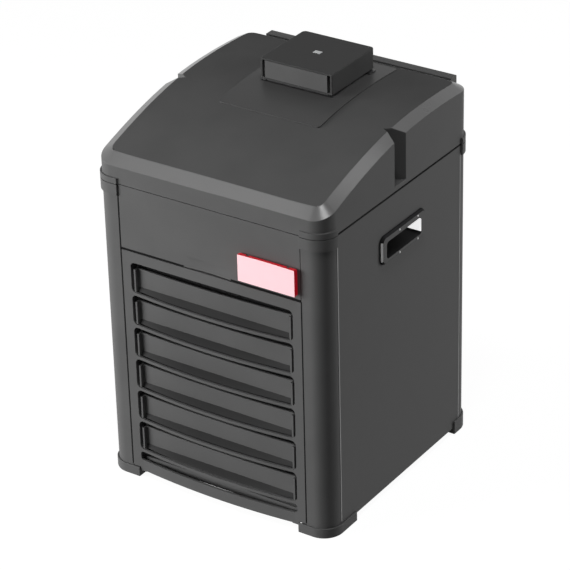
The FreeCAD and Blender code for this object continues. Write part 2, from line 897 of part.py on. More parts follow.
def make_rear_panel():
    """Flat rear wall with the wide opening that the warm air leaves through."""
    wall = wide_block(panel_edge, rear_y - sheet, rear_y, panel_bottom, panel_top)
    opening = wide_block(slot_half, rear_y - 2 * sheet, rear_y + sheet, slot_bottoms[-1],
                         panel_top - 3 * sheet)
    return whole(cut(wall, [opening] + rear_holes(rear_y - 2 * sheet, rear_y + sheet)))


def make_hood(z):
    """Sloping inner lip above one slot, which turns the air down as it leaves."""
    outside = cover_face - sheet / 2
    inside = outside - hood_depth
    outline = [Vector(-slot_half, outside, z), Vector(-slot_half, outside, z + hood_sheet),
               Vector(-slot_half, inside, z + hood_sheet + hood_rise),
               Vector(-slot_half, inside, z + hood_rise)]
    return prism(outline, RIGHT * 2 * slot_half)


def make_rear_cover():
    """Deep louvred cover that lets the warm air out behind the unit."""
    outer = wide_block(rear_cover_half_width, rear_y, cover_face, cover_bottom, cover_top)
    rim = [e for e in outer.Edges if e.BoundBox.YMin > cover_face - SLIVER
           and e.BoundBox.ZMax > cover_bottom + SLIVER]
    outer = outer.makeChamfer(rear_cover_corner / 2, rim)
    inner = wide_block(rear_cover_half_width - sheet, rear_y - sheet, cover_face - sheet,
                       cover_bottom + sheet, cover_top - sheet)
    inner_rim = [e for e in inner.Edges if e.BoundBox.YMin > cover_face - sheet - SLIVER
                 and e.BoundBox.ZMax > cover_bottom + sheet + SLIVER]
    inner = inner.makeChamfer(rear_cover_corner / 2, inner_rim)
    slots = [wide_block(slot_half, cover_face - 2 * sheet, cover_face + sheet, z, z + rear_slot_height)
             for z in slot_bottoms]
    cover = cut(outer.cut(inner), slots + rear_holes(cover_face - 2 * sheet, cover_face + sheet))
    return whole(fuse([cover] + [make_hood(z + rear_slot_height) for z in slot_bottoms]))


def make_screw(x, z):
    """A low tapered screw head seated on the rear cover."""
    return Part.makeCone(screw_radius, screw_radius - screw_height / 2, screw_height,
                         Vector(x, cover_face, z), BACK)


nodes["rear_panel"] = make_rear_panel()
nodes["rear_cover"] = make_rear_cover()
screw_heights = [cover_bottom + screw_end, (cover_bottom + cover_top) / 2, cover_top - screw_end]
nodes["rear_cover_screws"] = Part.makeCompound([
    make_screw(side * (rear_cover_half_width - screw_inset), z)
    for side in (-1, 1) for z in screw_heights])


# Appliance inlet and water ports
def make_mains_inlet():
    """Flush appliance inlet with three blades in its recess."""
    floor = cover_face - inlet_depth
    flange = inlet_block(cover_face, cover_face + inlet_flange, inlet_border)
    body = inlet_block(floor, cover_face + inlet_flange / 2, 0)
    recess = inlet_block(floor + 2 * inlet_wall, cover_face + 2 * inlet_flange, -inlet_wall)
    blades = []
    for dx, dz in ((-blade_space, -blade_drop), (0, blade_lift), (blade_space, -blade_drop)):
        x = inlet_x + dx
        z = inlet_height + dz
        blades.append(block(x - blade_sheet / 2, x + blade_sheet / 2, floor + inlet_wall,
                            cover_face - blade_inset, z - blade_tall / 2, z + blade_tall / 2))
    return whole(fuse([flange.fuse(body).cut(recess)] + blades))


pipe_end = rear_y - 3 * sheet


def make_fitting(z):
    """Bulkhead fitting: a flanged stub and the spigot that the elbow turns on."""
    start = Vector(port_x, pipe_end, z)
    face = Vector(port_x, cover_face, z)
    end = face + BACK * spigot_length
    stub = rod(stub_radius, start, face + BACK * port_flange)
    flange = rod(port_flange_radius, face, face + BACK * port_flange)
    spigot = rod(spigot_radius, face, end)
    return whole(fuse([stub, flange, spigot]).cut(rod(port_bore, start - BACK, end + BACK)))


def mitred(radius, first, corner, last):
    """Two round rods at a right angle, met in a mitre at their corner."""
    past_first = rod(radius, first, corner + (corner - first).normalize() * radius)
    past_last = rod(radius, last, corner + (corner - last).normalize() * radius)
    return fuse([rod(radius, first, corner), rod(radius, last, corner), past_first.common(past_last)])


def make_elbow(z):
    """Swivel elbow: a collar on the spigot, a mitred turn and a barbed hose tail that hangs down."""
    seat = Vector(port_x, cover_face + port_flange + elbow_gap, z)
    collar_end = seat + BACK * elbow_collar
    corner = collar_end + BACK * elbow_turn
    end = corner - UP * (elbow_turn + tail_length)
    collar = rod(elbow_collar_radius, seat, collar_end)
    barbs = [Part.makeCone(elbow_radius, barb_radius, barb_length,
                           end + UP * (port_wall + barb_step * i), UP) for i in range(barb_count)]
    outside = fuse([collar, mitred(elbow_radius, seat, corner, end)] + barbs)
    seat_bore = rod(spigot_radius + running_gap, seat - BACK,
                    Vector(port_x, cover_face + spigot_length + elbow_gap, z))
    return whole(cut(outside, [mitred(port_bore, seat, corner, end - UP), seat_bore]))


nodes["mains_inlet"] = make_mains_inlet()
for name, z in ports.items():
    nodes[name + "_fitting"] = make_fitting(z)
    nodes[name + "_elbow"] = make_elbow(z)


# Condenser
condenser_y0 = front_y + condenser_front
condenser_y1 = condenser_y0 + condenser_depth
condenser_half = panel_edge - condenser_side_gap
condenser_bottom = panel_bottom + condenser_rise
condenser_top = grille_top - condenser_top_gap
coil_y = (condenser_y0 + condenser_y1) / 2


def make_condenser():
    """Finned block: upright fins held in an open frame, so air passes between them."""
    inside = condenser_half - frame_sheet
    step = 2 * inside / (fin_count + 1)
    solids = []
    for i in range(fin_count):
        x = step * (i + 1) - inside
        solids.append(block(x - fin_sheet / 2, x + fin_sheet / 2, condenser_y0 + fin_inset,
                            condenser_y1 - fin_inset, condenser_bottom, condenser_top))
    for z in (condenser_bottom, condenser_top - frame_sheet):
        solids.append(wide_block(condenser_half, condenser_y0, condenser_y1, z, z + frame_sheet))
    for side in (-1, 1):
        solids.append(side_block(side, inside, condenser_half, condenser_y0, condenser_y1,
                                 tray_floor, condenser_top))
    return whole(fuse(solids))


def make_bend(side, z):
    """One return bend: half a ring, drawn with flats round its section."""
    start = Vector(side * condenser_half, coil_y, z - bend_radius)
    turns = [2 * math.pi * (i + 0.5) / bend_flats for i in range(bend_flats)]
    outline = [start + BACK * bend_tube * math.cos(t) + UP * bend_tube * math.sin(t) for t in turns]
    face = Part.Face(Part.makePolygon(outline + outline[:1]))
    return face.revolve(Vector(side * condenser_half, coil_y, z), BACK * -side, 180)


def make_bends():
    """Return bends of the condenser tube, staggered on its two end plates."""
    step = (condenser_top - condenser_bottom) / (bend_count + 0.5)
    return Part.makeCompound([make_bend(side, condenser_bottom + step * (i + 0.75 + 0.25 * side))
                              for side in (-1, 1) for i in range(bend_count)])


nodes["condenser"] = make_condenser()
nodes["condenser_bends"] = make_bends()


# Fan behind the condenser
fan_centre = (condenser_bottom + condenser_top) / 2
fan_radius = min(condenser_half, (condenser_top - condenser_bottom) / 2) - fan_margin
opening_radius = fan_radius + fan_tip_gap
shroud_y0 = condenser_y1 + shroud_gap
shroud_y1 = shroud_y0 + sheet
duct_y1 = shroud_y1 + fan_duct
hub_y0 = shroud_y1 + fan_hub_start
hub_y1 = hub_y0 + fan_hub_length
motor_y0 = hub_y1 + motor_gap
motor_y1 = motor_y0 + motor_length


def on_axis(y):
    return Vector(0, y, fan_centre)


def bevelled_rod(radius, y0, y1, edge_y, size):
    """A rod on the fan's axis with a bevel round one end."""
    solid = rod(radius, on_axis(y0), on_axis(y1))
    return solid.makeChamfer(size, [e for e in solid.Edges if abs(e.CenterOfMass.y - edge_y) < SLIVER])


def make_shroud():
    """Plate with a round duct that the fan turns in, standing on the tray."""
    plate = wide_block(condenser_half + shroud_overhang, shroud_y0, shroud_y1, tray_floor,
                       condenser_top)
    duct = rod(opening_radius + sheet, on_axis(shroud_y0), on_axis(duct_y1))
    hole = rod(opening_radius, on_axis(shroud_y0 - sheet), on_axis(duct_y1 + sheet))
    return whole(fuse([plate, duct]).cut(hole))


def make_fan_bracket():
    """Spokes from the duct's rear rim to the ring that clamps the motor."""
    solids = [rod(motor_radius + sheet, on_axis(duct_y1), on_axis(motor_y1 - clamp_margin))]
    for i in range(spoke_count):
        spoke = block(0, opening_radius + sheet, duct_y1, duct_y1 + spoke_sheet, -spoke_width / 2,
                      spoke_width / 2)
        spoke.rotate(ORIGIN, BACK, 360 / spoke_count * (i + 0.5))
        spoke.translate(UP * fan_centre)
        solids.append(spoke)
    return whole(fuse(solids).cut(rod(motor_radius, on_axis(duct_y1 - sheet), on_axis(motor_y1))))


def make_motor():
    """Fan motor: a can with a bevelled rear edge, its boss and its shaft into the hub."""
    can = bevelled_rod(motor_radius, motor_y0, motor_y1, motor_y1, motor_edge)
    boss = rod(fan_shaft_radius + motor_boss, on_axis(motor_y0 - motor_gap / 2), on_axis(motor_y0))
    shaft = rod(fan_shaft_radius, on_axis(hub_y0 + fan_hub_face), on_axis(motor_y0))
    return whole(fuse([can, boss, shaft]))


def make_fan_blade(i):
    """One cambered, pitched blade, trimmed to the swept circle by the caller."""
    half = blade_chord / 2
    root = fan_hub_radius - fan_hub_face
    arcs = [Part.Arc(Vector(root, y, -half), Vector(root, y + blade_camber, 0), Vector(root, y, half))
            for y in (0, blade_thickness)]
    ends = [Part.makeLine(Vector(root, 0, z), Vector(root, blade_thickness, z)) for z in (-half, half)]
    wire = Part.Wire(Part.__sortEdges__([arc.toShape() for arc in arcs] + ends))
    blade = Part.Face(wire).extrude(RIGHT * fan_radius)
    blade.rotate(ORIGIN, RIGHT, blade_pitch)
    blade.rotate(ORIGIN, BACK, 360 / fan_blades * i)
    blade.translate(on_axis((hub_y0 + hub_y1 - blade_camber) / 2))
    return blade


def make_rotor():
    """Axial fan: cambered blades on a bevelled hub with a blind bore for the shaft."""
    hub = bevelled_rod(fan_hub_radius, hub_y0, hub_y1, hub_y0, fan_hub_face)
    swept = rod(fan_radius, on_axis(shroud_y0), on_axis(duct_y1))
    blades = [make_fan_blade(i).common(swept) for i in range(fan_blades)]
    bore = rod(fan_shaft_radius + running_gap, on_axis(hub_y0 + fan_hub_face - running_gap),
               on_axis(hub_y1 + motor_gap))
    return whole(fuse([hub] + blades).cut(bore))


nodes["fan_shroud"] = make_shroud()
nodes["fan_bracket"] = make_fan_bracket()
nodes["fan_motor"] = make_motor()
nodes["fan_rotor"] = make_rotor()


# Compressor on its grommets
compressor_x = compressor_side_gap + compressor_radius - half_width
can_bottom = tray_floor + grommet_height


def make_compressor():
    """Welded steel shell: a straight can with domed ends, on a square foot plate."""
    r = compressor_radius
    profile = [(0, can_bottom), (r - dome_base, can_bottom), (r, can_bottom + dome_base),
               (r, compressor_top - dome_height), (r - dome_flat / 2, compressor_top - dome_height / 3),
               (dome_flat, compressor_top), (0, compressor_top)]
    can = turned(profile, Vector(compressor_x, unit_y, 0), UP)
    plate = block(compressor_x - r, compressor_x + r, unit_y - r, unit_y + r, can_bottom,
                  can_bottom + foot_plate_sheet)
    return whole(fuse([can, plate]))


def make_grommets():
    """Rubber bushes between the compressor's plate and the tray."""
    reach = compressor_radius - grommet_radius
    places = [Vector(compressor_x + sx * reach, unit_y + sy * reach, tray_floor)
              for sx in (-1, 1) for sy in (-1, 1)]
    return Part.makeCompound([rod(grommet_radius, p, p + UP * grommet_height) for p in places])


def make_terminal_cover():
    """Cover over the compressor's terminals, fitted to its shell."""
    cover = rounded_block(compressor_x - terminal_half_width, compressor_x + terminal_half_width,
                          unit_y - compressor_radius - terminal_depth, unit_y, terminal_bottom,
                          terminal_bottom + terminal_height, terminal_corner, BACK)
    shell = rod(compressor_radius + terminal_gap, Vector(compressor_x, unit_y, 0),
                Vector(compressor_x, unit_y, compressor_top))
    return whole(cover.cut(shell))


nodes["compressor_shell"] = make_compressor()
nodes["compressor_grommets"] = make_grommets()
nodes["terminal_cover"] = make_terminal_cover()


# Heat exchanger vessel, its cap and its water pipes
vessel_top = condenser_top - vessel_drop


def vessel_rod(radius, z0, z1):
    return rod(radius, Vector(port_x, unit_y, z0), Vector(port_x, unit_y, z1))


def make_cap():
    """Clamped cap with a bevelled top edge."""
    cap = vessel_rod(vessel_radius + cap_proud, vessel_top - cap_height, vessel_top)
    return cap.makeChamfer(cap_edge, [e for e in cap.Edges if e.CenterOfMass.z > vessel_top - SLIVER])


def make_water_pipe(z):
    """Short pipe from the vessel's side to the bulkhead fitting."""
    start = Vector(port_x, unit_y + vessel_radius - pipe_root, z)
    end = Vector(port_x, pipe_end, z)
    pipe = rod(spigot_radius, start, end).cut(rod(port_bore, start - BACK, end + BACK))
    return whole(pipe.cut(vessel_rod(vessel_radius, 0, vessel_top)))


nodes["evaporator_vessel"] = vessel_rod(vessel_radius, tray_floor, vessel_top - cap_height)
nodes["evaporator_cap"] = make_cap()
for name, z in ports.items():
    nodes[name + "_pipe"] = make_water_pipe(z)


# Refrigerant line: drier and copper tubes
drier_y = unit_y + drier_back
drier_top = condenser_top + drier_rise
drier_bottom = drier_top - drier_length
liquid_height = drier_top + liquid_rise
discharge_height = condenser_top + discharge_rise
suction_height = vessel_top + suction_rise
discharge_x = compressor_x - discharge_offset
suction_x = compressor_x + suction_offset
suction_y = unit_y + suction_back


def line_tube(places, radius, bend):
    return tube([Vector(x, y, z) for x, y, z in places], radius, bend)


def make_drier():
    """Filter drier: a spun copper can with conical ends."""
    profile = [(0, drier_bottom), (drier_neck, drier_bottom), (drier_radius, drier_bottom + drier_radius),
               (drier_radius, drier_top - drier_radius), (drier_neck, drier_top), (0, drier_top)]
    return turned(profile, Vector(drier_x, drier_y, 0), UP)


def make_discharge_pipe():
    """From the compressor's dome up and forward to the top of the condenser."""
    pipe = line_tube([(discharge_x, unit_y, compressor_top - discharge_root),
                      (discharge_x, unit_y, discharge_height), (discharge_x, coil_y, discharge_height),
                      (discharge_x, coil_y, condenser_top)], refrigerant_tube, tight_bend)
    return whole(pipe.cut(nodes["compressor_shell"]))


def make_liquid_pipe():
    """From the condenser over to the top of the drier."""
    return line_tube([(drier_x, coil_y, condenser_top), (drier_x, coil_y, liquid_height),
                      (drier_x, drier_y, liquid_height), (drier_x, drier_y, drier_top)],
                     refrigerant_tube, tight_bend)


def make_capillary_pipe():
    """Fine tube from the drier's foot to the side of the vessel."""
    height = drier_bottom - pipe_bend
    pipe = line_tube([(drier_x, drier_y, drier_bottom), (drier_x, drier_y, height),
                      (port_x - vessel_radius + capillary_root, drier_y, height)],
                     capillary_tube, tight_bend)
    return whole(pipe.cut(nodes["evaporator_vessel"]))


def make_suction_pipe():
    """Wide return tube from the vessel's cap down to the compressor."""
    pipe = line_tube([(port_x, suction_y, vessel_top), (port_x, suction_y, suction_height),
                      (suction_x, suction_y, suction_height),
                      (suction_x, suction_y, compressor_top - suction_root)], suction_tube, pipe_bend)
    return whole(pipe.cut(nodes["compressor_shell"]))


nodes["filter_drier"] = make_drier()
nodes["discharge_pipe"] = make_discharge_pipe()
nodes["liquid_pipe"] = make_liquid_pipe()
nodes["capillary_pipe"] = make_capillary_pipe()
nodes["suction_pipe"] = make_suction_pipe()


# Electrics box behind the upper front panel, above the liquid pipe
box_y0 = front_y + sheet
box_bottom = liquid_height + refrigerant_tube + box_bottom_gap
nodes["electrics_box"] = rounded_block(box_side_margin - panel_edge, box_right, box_y0,
                                       box_y0 + box_depth, box_bottom, panel_top - sheet - box_top_gap,
                                       box_corner, BACK)

os.makedirs("parts", exist_ok=True)
for name, shape in nodes.items():
    shape.exportStep("parts/" + name + ".step")
    box = shape.BoundBox
    print(name, len(shape.Solids), shape.isValid(), round(box.XMin, 1), round(box.XMax, 1),
          round(box.YMin, 1), round(box.YMax, 1), round(box.ZMin, 1), round(box.ZMax, 1))
print("front", front_y, "rear", rear_y, "hinge", hinge_y, "pin", pin_y, pin_z, "unit", unit_y,
      "cover", cover_face, "fan", hub_y0, fan_centre)
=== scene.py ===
# %% [markdown]
# # A tower-shaped aquarium cooling unit
# The unit is a dark moulded cabinet with a louvred front, a curved lid and a small control
# module on top. Its solids come finished from the CAD model, each in its real place, and this
# lesson gives them the looks of the real thing: softened edges, plastic, metal and rubber
# finishes, and the small parts that repeat. All lengths are in metres, and MM is a millimetre.

# %% Load the frame
import bmesh
import bpy
import json
import math
from mathutils import Matrix, Vector


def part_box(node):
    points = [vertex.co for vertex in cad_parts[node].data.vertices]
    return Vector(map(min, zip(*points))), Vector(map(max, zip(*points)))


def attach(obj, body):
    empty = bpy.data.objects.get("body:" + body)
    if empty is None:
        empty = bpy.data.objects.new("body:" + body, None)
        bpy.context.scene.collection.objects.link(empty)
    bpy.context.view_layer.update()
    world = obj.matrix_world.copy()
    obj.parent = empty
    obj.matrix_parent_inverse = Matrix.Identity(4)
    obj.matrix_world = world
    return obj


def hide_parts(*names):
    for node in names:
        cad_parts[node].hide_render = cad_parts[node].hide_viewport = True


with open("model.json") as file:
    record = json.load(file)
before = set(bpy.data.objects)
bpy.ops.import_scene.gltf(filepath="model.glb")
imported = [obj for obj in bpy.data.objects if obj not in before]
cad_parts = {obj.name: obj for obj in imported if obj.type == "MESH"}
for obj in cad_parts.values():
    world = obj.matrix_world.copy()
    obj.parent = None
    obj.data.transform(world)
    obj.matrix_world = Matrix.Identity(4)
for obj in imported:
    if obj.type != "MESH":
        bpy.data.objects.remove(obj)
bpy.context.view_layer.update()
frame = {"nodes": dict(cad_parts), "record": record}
MM = 0.001
nodes = frame["nodes"]
bodies = frame["record"]["behaviour"]["bodies"]
body_of = {node: body for body, members in bodies.items() for node in members}
slot_of = {part["node"]: part["material_slot"] for part in frame["record"]["subparts"]}
print("pieces in the frame:", len(nodes))

# %% [markdown]
# ## Where things are
# Most places follow from the CAD boxes. The front and rear planes of the cabinet are where its
# posts stand, just behind their proud collars, the side plane is the face of the side panels, and
# the seam is where the lid sits down. The camera and every added part are set out from them.

# %% Planes of the cabinet
COLLAR_PROUD = 2.4 * MM
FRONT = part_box("front_right_pillar")[0].y + COLLAR_PROUD
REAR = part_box("rear_right_pillar")[1].y - COLLAR_PROUD
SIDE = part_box("right_side_panel")[1].x
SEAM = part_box("lid")[0].z
print("front", round(FRONT, 4), "rear", round(REAR, 4))
print("side", round(SIDE, 4), "seam", round(SEAM, 4))

# %% [markdown]
# ## The camera
# The view is a long lens from the right and well above, so the uprights lean in a little towards
# the floor. The eye, the point looked at and the small roll were worked out from the unit's own
# straight edges. A matrix built from three unit vectors holds the roll too, which a plain
# track-to rotation would lose.

# %% Place the camera
EYE = Vector((1.541855, -2.113637 + FRONT, 1.704447))
LOOK_AT = Vector((0.002008, 0.140985 + FRONT, 0.214971))
ROLL = math.radians(-1.513)
LENS = 174.06
FILM_WIDTH = 36
forward = (LOOK_AT - EYE).normalized()
level = forward.cross(Vector((0, 0, 1))).normalized()
rise = level.cross(forward)
across = level * math.cos(ROLL) + rise * math.sin(ROLL)
upward = rise * math.cos(ROLL) - level * math.sin(ROLL)
turned = Matrix((across, upward, -forward)).transposed().to_4x4()
camera = bpy.data.objects.new("camera", bpy.data.cameras.new("camera"))
camera.data.lens = LENS
camera.data.sensor_width = FILM_WIDTH
camera.matrix_world = Matrix.Translation(EYE) @ turned
bpy.context.scene.collection.objects.link(camera)
bpy.context.scene.camera = camera
bpy.context.scene.view_settings.view_transform = "Standard"
print("eye to unit:", round((LOOK_AT - EYE).length, 3), "m")

# %% [markdown]
# ## Small tools for materials
# Colours are written as they look on a screen, in sRGB hex, but a shader works in linear light,
# so one function turns them. Another adds a node, sets what it is given and links its inputs,
# which keeps every material below short enough to read, and the last starts a material.

# %% Colour and node helpers
def linear(code):
    """The linear RGBA of an sRGB hex colour such as 5C5C5C."""
    parts = [int(code[i:i + 2], 16) / 255 for i in (0, 2, 4)]
    return [c / 12.92 if c <= 0.04045 else ((c + 0.055) / 1.055) ** 2.4 for c in parts] + [1]


def add(tree, kind, inputs=None, **settings):
    """Add one node: settings are its own properties, inputs are values or sockets to link."""
    node = tree.nodes.new(kind)
    for name, value in settings.items():
        setattr(node, name, value)
    for key, value in (inputs or {}).items():
        if isinstance(value, bpy.types.NodeSocket):
            tree.links.new(value, node.inputs[key])
        else:
            node.inputs[key].default_value = value
    return node


def blank(name):
    """A new material and its empty node tree."""
    material = bpy.data.materials.new(name)
    material.use_nodes = True
    material.node_tree.nodes.clear()
    return material, material.node_tree


print("sRGB 808080 in linear light:", round(linear("808080")[0], 3))

# %% [markdown]
# ## The floor
# The unit stands on a plain white floor in a white studio. The floor is a white surface that
# keeps a soft shadow, and to the camera and in reflections it also glows a little, so it stays
# white without more light on the unit. To all other light it is grey, so little bounces up.

# %% White studio
BACKGROUND = linear("FFFFFF")
FLOOR_SEEN = linear("F4F4F4")
FLOOR_UNSEEN = linear("8C8C8C")
FLOOR_SIZE = 14.0
FLOOR_GLOW = 0.86
GLOW_STRENGTH = 1.1


def seen_directly(tree):
    """1 for rays from the camera, from a glossy surface or through a clear one, else 0."""
    path = add(tree, "ShaderNodeLightPath")
    glossy = add(tree, "ShaderNodeMath", {
        0: path.outputs["Is Camera Ray"], 1: path.outputs["Is Glossy Ray"]}, operation="MAXIMUM")
    clear = add(tree, "ShaderNodeMath", {
        0: glossy.outputs[0], 1: path.outputs["Is Transmission Ray"]}, operation="MAXIMUM")
    return clear.outputs[0]


half = FLOOR_SIZE / 2
floor_corners = [(-half, -half, 0), (half, -half, 0), (half, half, 0), (-half, half, 0)]
floor_mesh = bpy.data.meshes.new("studio_floor")
floor_mesh.from_pydata(floor_corners, [], [(0, 1, 2, 3)])
floor = bpy.data.objects.new("studio_floor", floor_mesh)
bpy.context.scene.collection.objects.link(floor)
floor_paint, tree = blank("white_studio_floor")
seen = seen_directly(tree)
tint = add(tree, "ShaderNodeMix", {0: seen, 6: FLOOR_UNSEEN, 7: FLOOR_SEEN}, data_type="RGBA")
paint = add(tree, "ShaderNodeBsdfDiffuse", {"Color": tint.outputs[2]})
glow = add(tree, "ShaderNodeEmission", {"Color": BACKGROUND, "Strength": GLOW_STRENGTH})
share = add(tree, "ShaderNodeMath", {0: seen, 1: FLOOR_GLOW}, operation="MULTIPLY")
mixed = add(tree, "ShaderNodeMixShader", {
    0: share.outputs[0], 1: paint.outputs[0], 2: glow.outputs[0]})
add(tree, "ShaderNodeOutputMaterial", {"Surface": mixed.outputs[0]})
floor_mesh.materials.append(floor_paint)
print("floor:", FLOOR_SIZE, "m each way")

# %% [markdown]
# ## The light
# Two large soft lights stand low at the front left and at the rear right: they light the front
# and the side and leave the rounded corner between them dark, which is what shows that the posts
# are round. A faint one above fills in the top, and three small strips stand where the lid's
# chamfer mirrors them: for its front, its corner and its side. The world adds very little light,
# and is white to the camera and in reflections.

# %% World and lamps
AMBIENT = 0.02
# Each lamp: its turn and height in degrees around the point looked at, its distance and size in
# metres, and how bright a white card that faces it becomes.
LAMPS = {
    "front_left_softbox": (-137, 8, 2.6, (1.8, 1.1), 1.25),
    "rear_right_softbox": (49, 10, 2.6, (1.0, 1.0), 0.46),
    "overhead_softbox": (-60, 86, 2.6, (0.8, 0.8), 0.02),
    "front_chamfer_strip": (-132, 49, 2.4, (0.4, 0.3), 0.03),
    "corner_strip": (-50, 71, 2.4, (0.6, 0.45), 0.24),
    "side_chamfer_strip": (52, 64, 2.4, (0.4, 0.4), 0.05),
}
world = bpy.data.worlds.new("white_studio")
bpy.context.scene.world = world
world.use_nodes = True
tree = world.node_tree
tree.nodes.clear()
plain = add(tree, "ShaderNodeBackground", {"Color": BACKGROUND, "Strength": AMBIENT})
white = add(tree, "ShaderNodeBackground", {"Color": BACKGROUND, "Strength": 1.0})
mixed = add(tree, "ShaderNodeMixShader", {
    0: seen_directly(tree), 1: plain.outputs[0], 2: white.outputs[0]})
add(tree, "ShaderNodeOutputWorld", {"Surface": mixed.outputs[0]})
for name, (turn, height, distance, size, brightness) in LAMPS.items():
    lamp = bpy.data.lights.new(name, "AREA")
    lamp.shape = "RECTANGLE"
    lamp.size, lamp.size_y = size
    lamp.energy = brightness * math.pi ** 2 * distance ** 2
    turn, height = math.radians(turn), math.radians(height)
    flat = math.cos(height)
    way = Vector((math.cos(turn) * flat, math.sin(turn) * flat, math.sin(height)))
    holder = bpy.data.objects.new(name, lamp)
    holder.location = LOOK_AT + way * distance
    holder.rotation_euler = way.to_track_quat("Z", "Y").to_euler()
    bpy.context.scene.collection.objects.link(holder)
print("lamps:", len(LAMPS))

# %% [markdown]
# ## Moulded plastics
# The cabinet is injection-moulded ABS. The tool's surface is spark-eroded, which leaves a fine
# matt grain, so a lamp's reflection is broad and soft. The grain is real, about a third of a
# millimetre, and is drawn a little coarser so that it shows at all. The plastic's colour and gloss
# also drift slightly where the melt cooled. Every moulded part uses this one recipe with its own
# colour, grain and gloss.

# %% Recipe for a moulded plastic
FLOW_PATCH = 70 * MM
# Nearly all of a noise texture lies between these two values.
NOISE_LOW = 0.3
NOISE_HIGH = 0.7


def moulded(name, colour, grain, gloss_low, gloss_high, depth=0.02, specular=0.5, drift=0.06):
    """Plastic from a textured tool: grain and depth in millimetres, roughness low to high."""
    material, tree = blank(name)
    place = add(tree, "ShaderNodeTexCoord").outputs["Object"]
    flow = add(tree, "ShaderNodeTexNoise", {
        "Vector": place, "Scale": 1 / FLOW_PATCH, "Detail": 3.0})
    rough = add(tree, "ShaderNodeMapRange", {
        0: flow.outputs["Fac"], 1: NOISE_LOW, 2: NOISE_HIGH, 3: gloss_low, 4: gloss_high})
    tone = add(tree, "ShaderNodeMapRange", {
        0: flow.outputs["Fac"], 1: NOISE_LOW, 2: NOISE_HIGH, 3: 1 - drift, 4: 1 + drift})
    body = add(tree, "ShaderNodeMix", {0: 1.0, 6: linear(colour), 7: tone.outputs[0]},
               data_type="RGBA", blend_type="MULTIPLY")
    pits = add(tree, "ShaderNodeTexNoise", {
        "Vector": place, "Scale": 1 / (grain * MM), "Detail": 4.0, "Roughness": 0.6})
    bump = add(tree, "ShaderNodeBump", {
        "Height": pits.outputs["Fac"], "Distance": depth * MM, "Strength": 0.6})
    skin = add(tree, "ShaderNodeBsdfPrincipled", {
        "Base Color": body.outputs[2], "Roughness": rough.outputs[0], "IOR": 1.53,
        "Specular IOR Level": specular, "Normal": bump.outputs[0]})
    add(tree, "ShaderNodeOutputMaterial", {"Surface": skin.outputs[0]})
    return material


finishes = {
    # Spark-eroded grain: a broad, soft sheen with no clear reflection.
    "cabinet_abs": moulded("dark_grey_textured_abs", "5E5E5E", 0.8, 0.46, 0.56, specular=0.06),
    # A texture left nearly smooth, so that its corners catch a satin gleam.
    "black_abs": moulded("black_satin_abs", "2A2A2B", 0.6, 0.34, 0.46, specular=0.4),
    # Very fine grain: dry and even, and darker than the cabinet.
    "module_abs": moulded("fine_grained_dark_abs", "474747", 0.5, 0.46, 0.54, depth=0.012,
                          specular=0.02),
    # Rolled film: smoother and more even than the moulding that it lies on.
    "label_film": moulded("satin_label_film", "4E4E4E", 0.35, 0.36, 0.42, depth=0.006,
                          specular=0.08, drift=0.02),
    # Extruded tube: smooth, with a clean highlight along its length.
    "water_pipe_plastic": moulded("grey_extruded_pvc", "B8B8B2", 1.5, 0.3, 0.4, depth=0.008),
    # Rubber scatters light widely, so it looks flat and nearly black.
    "grommet_rubber": moulded("black_moulded_rubber", "232323", 1.0, 0.7, 0.85, depth=0.03),
    # Silicone rubber has a dry, slightly waxy face.
    "key_rubber": moulded("grey_silicone_rubber", "6A6A6C", 0.4, 0.55, 0.65, depth=0.01),
    # Foam shows its pores and has no gleam at all.
    "vessel_foam": moulded("closed_cell_foam", "2E2E30", 2.2, 0.85, 0.95, depth=0.25),
    # Woven threads trap the light between them. The same black is painted shade on the sheet behind
    # them.
    "filter_mesh": moulded("black_woven_polyester_and_painted_shade", "1B1B1C", 0.5, 0.7, 0.85),
}
print("plastics and rubbers:", len(finishes))

# %% [markdown]
# ## Metals
# The rear wall is zinc-coated sheet, whose crystals show as pale and dark patches a few
# millimetres wide, called spangle. The fins are bare rolled aluminium, the refrigerant line is
# drawn copper that has darkened unevenly by hand and heat, and the compressor is baked black
# enamel over steel. The tray gets the same black as painted shade. A metal keeps the shader's
# default IOR, and its colour is its reflection.

# %% Recipe for a worked metal
TONE_LOW = 0.1
TONE_HIGH = 0.5


def worked(name, pale, dark, patch, gloss_low, gloss_high, metallic=1.0, stretch=(1, 1, 1),
           depth=0.004):
    """Metal or enamel in two tones, in patches of a size in millimetres along the work."""
    material, tree = blank(name)
    place = add(tree, "ShaderNodeTexCoord").outputs["Object"]
    along = add(tree, "ShaderNodeMapping", {"Vector": place, "Scale": stretch})
    cells = add(tree, "ShaderNodeTexVoronoi", {
        "Vector": along.outputs[0], "Scale": 1 / (patch * MM)})
    grey = add(tree, "ShaderNodeRGBToBW", {0: cells.outputs["Color"]})
    blotch = add(tree, "ShaderNodeTexNoise", {
        "Vector": along.outputs[0], "Scale": 1 / (4 * patch * MM), "Detail": 4.0})
    both = add(tree, "ShaderNodeMath", {0: grey.outputs[0], 1: blotch.outputs["Fac"]},
               operation="MULTIPLY")
    tone = add(tree, "ShaderNodeMapRange", {0: both.outputs[0], 1: TONE_LOW, 2: TONE_HIGH})
    body = add(tree, "ShaderNodeMix", {0: tone.outputs[0], 6: linear(dark), 7: linear(pale)},
               data_type="RGBA")
    rough = add(tree, "ShaderNodeMapRange", {0: tone.outputs[0], 3: gloss_high, 4: gloss_low})
    bump = add(tree, "ShaderNodeBump", {
        "Height": blotch.outputs["Fac"], "Distance": depth * MM, "Strength": 0.5})
    skin = add(tree, "ShaderNodeBsdfPrincipled", {
        "Base Color": body.outputs[2], "Metallic": metallic, "Roughness": rough.outputs[0],
        "Normal": bump.outputs[0]})
    add(tree, "ShaderNodeOutputMaterial", {"Surface": skin.outputs[0]})
    return material


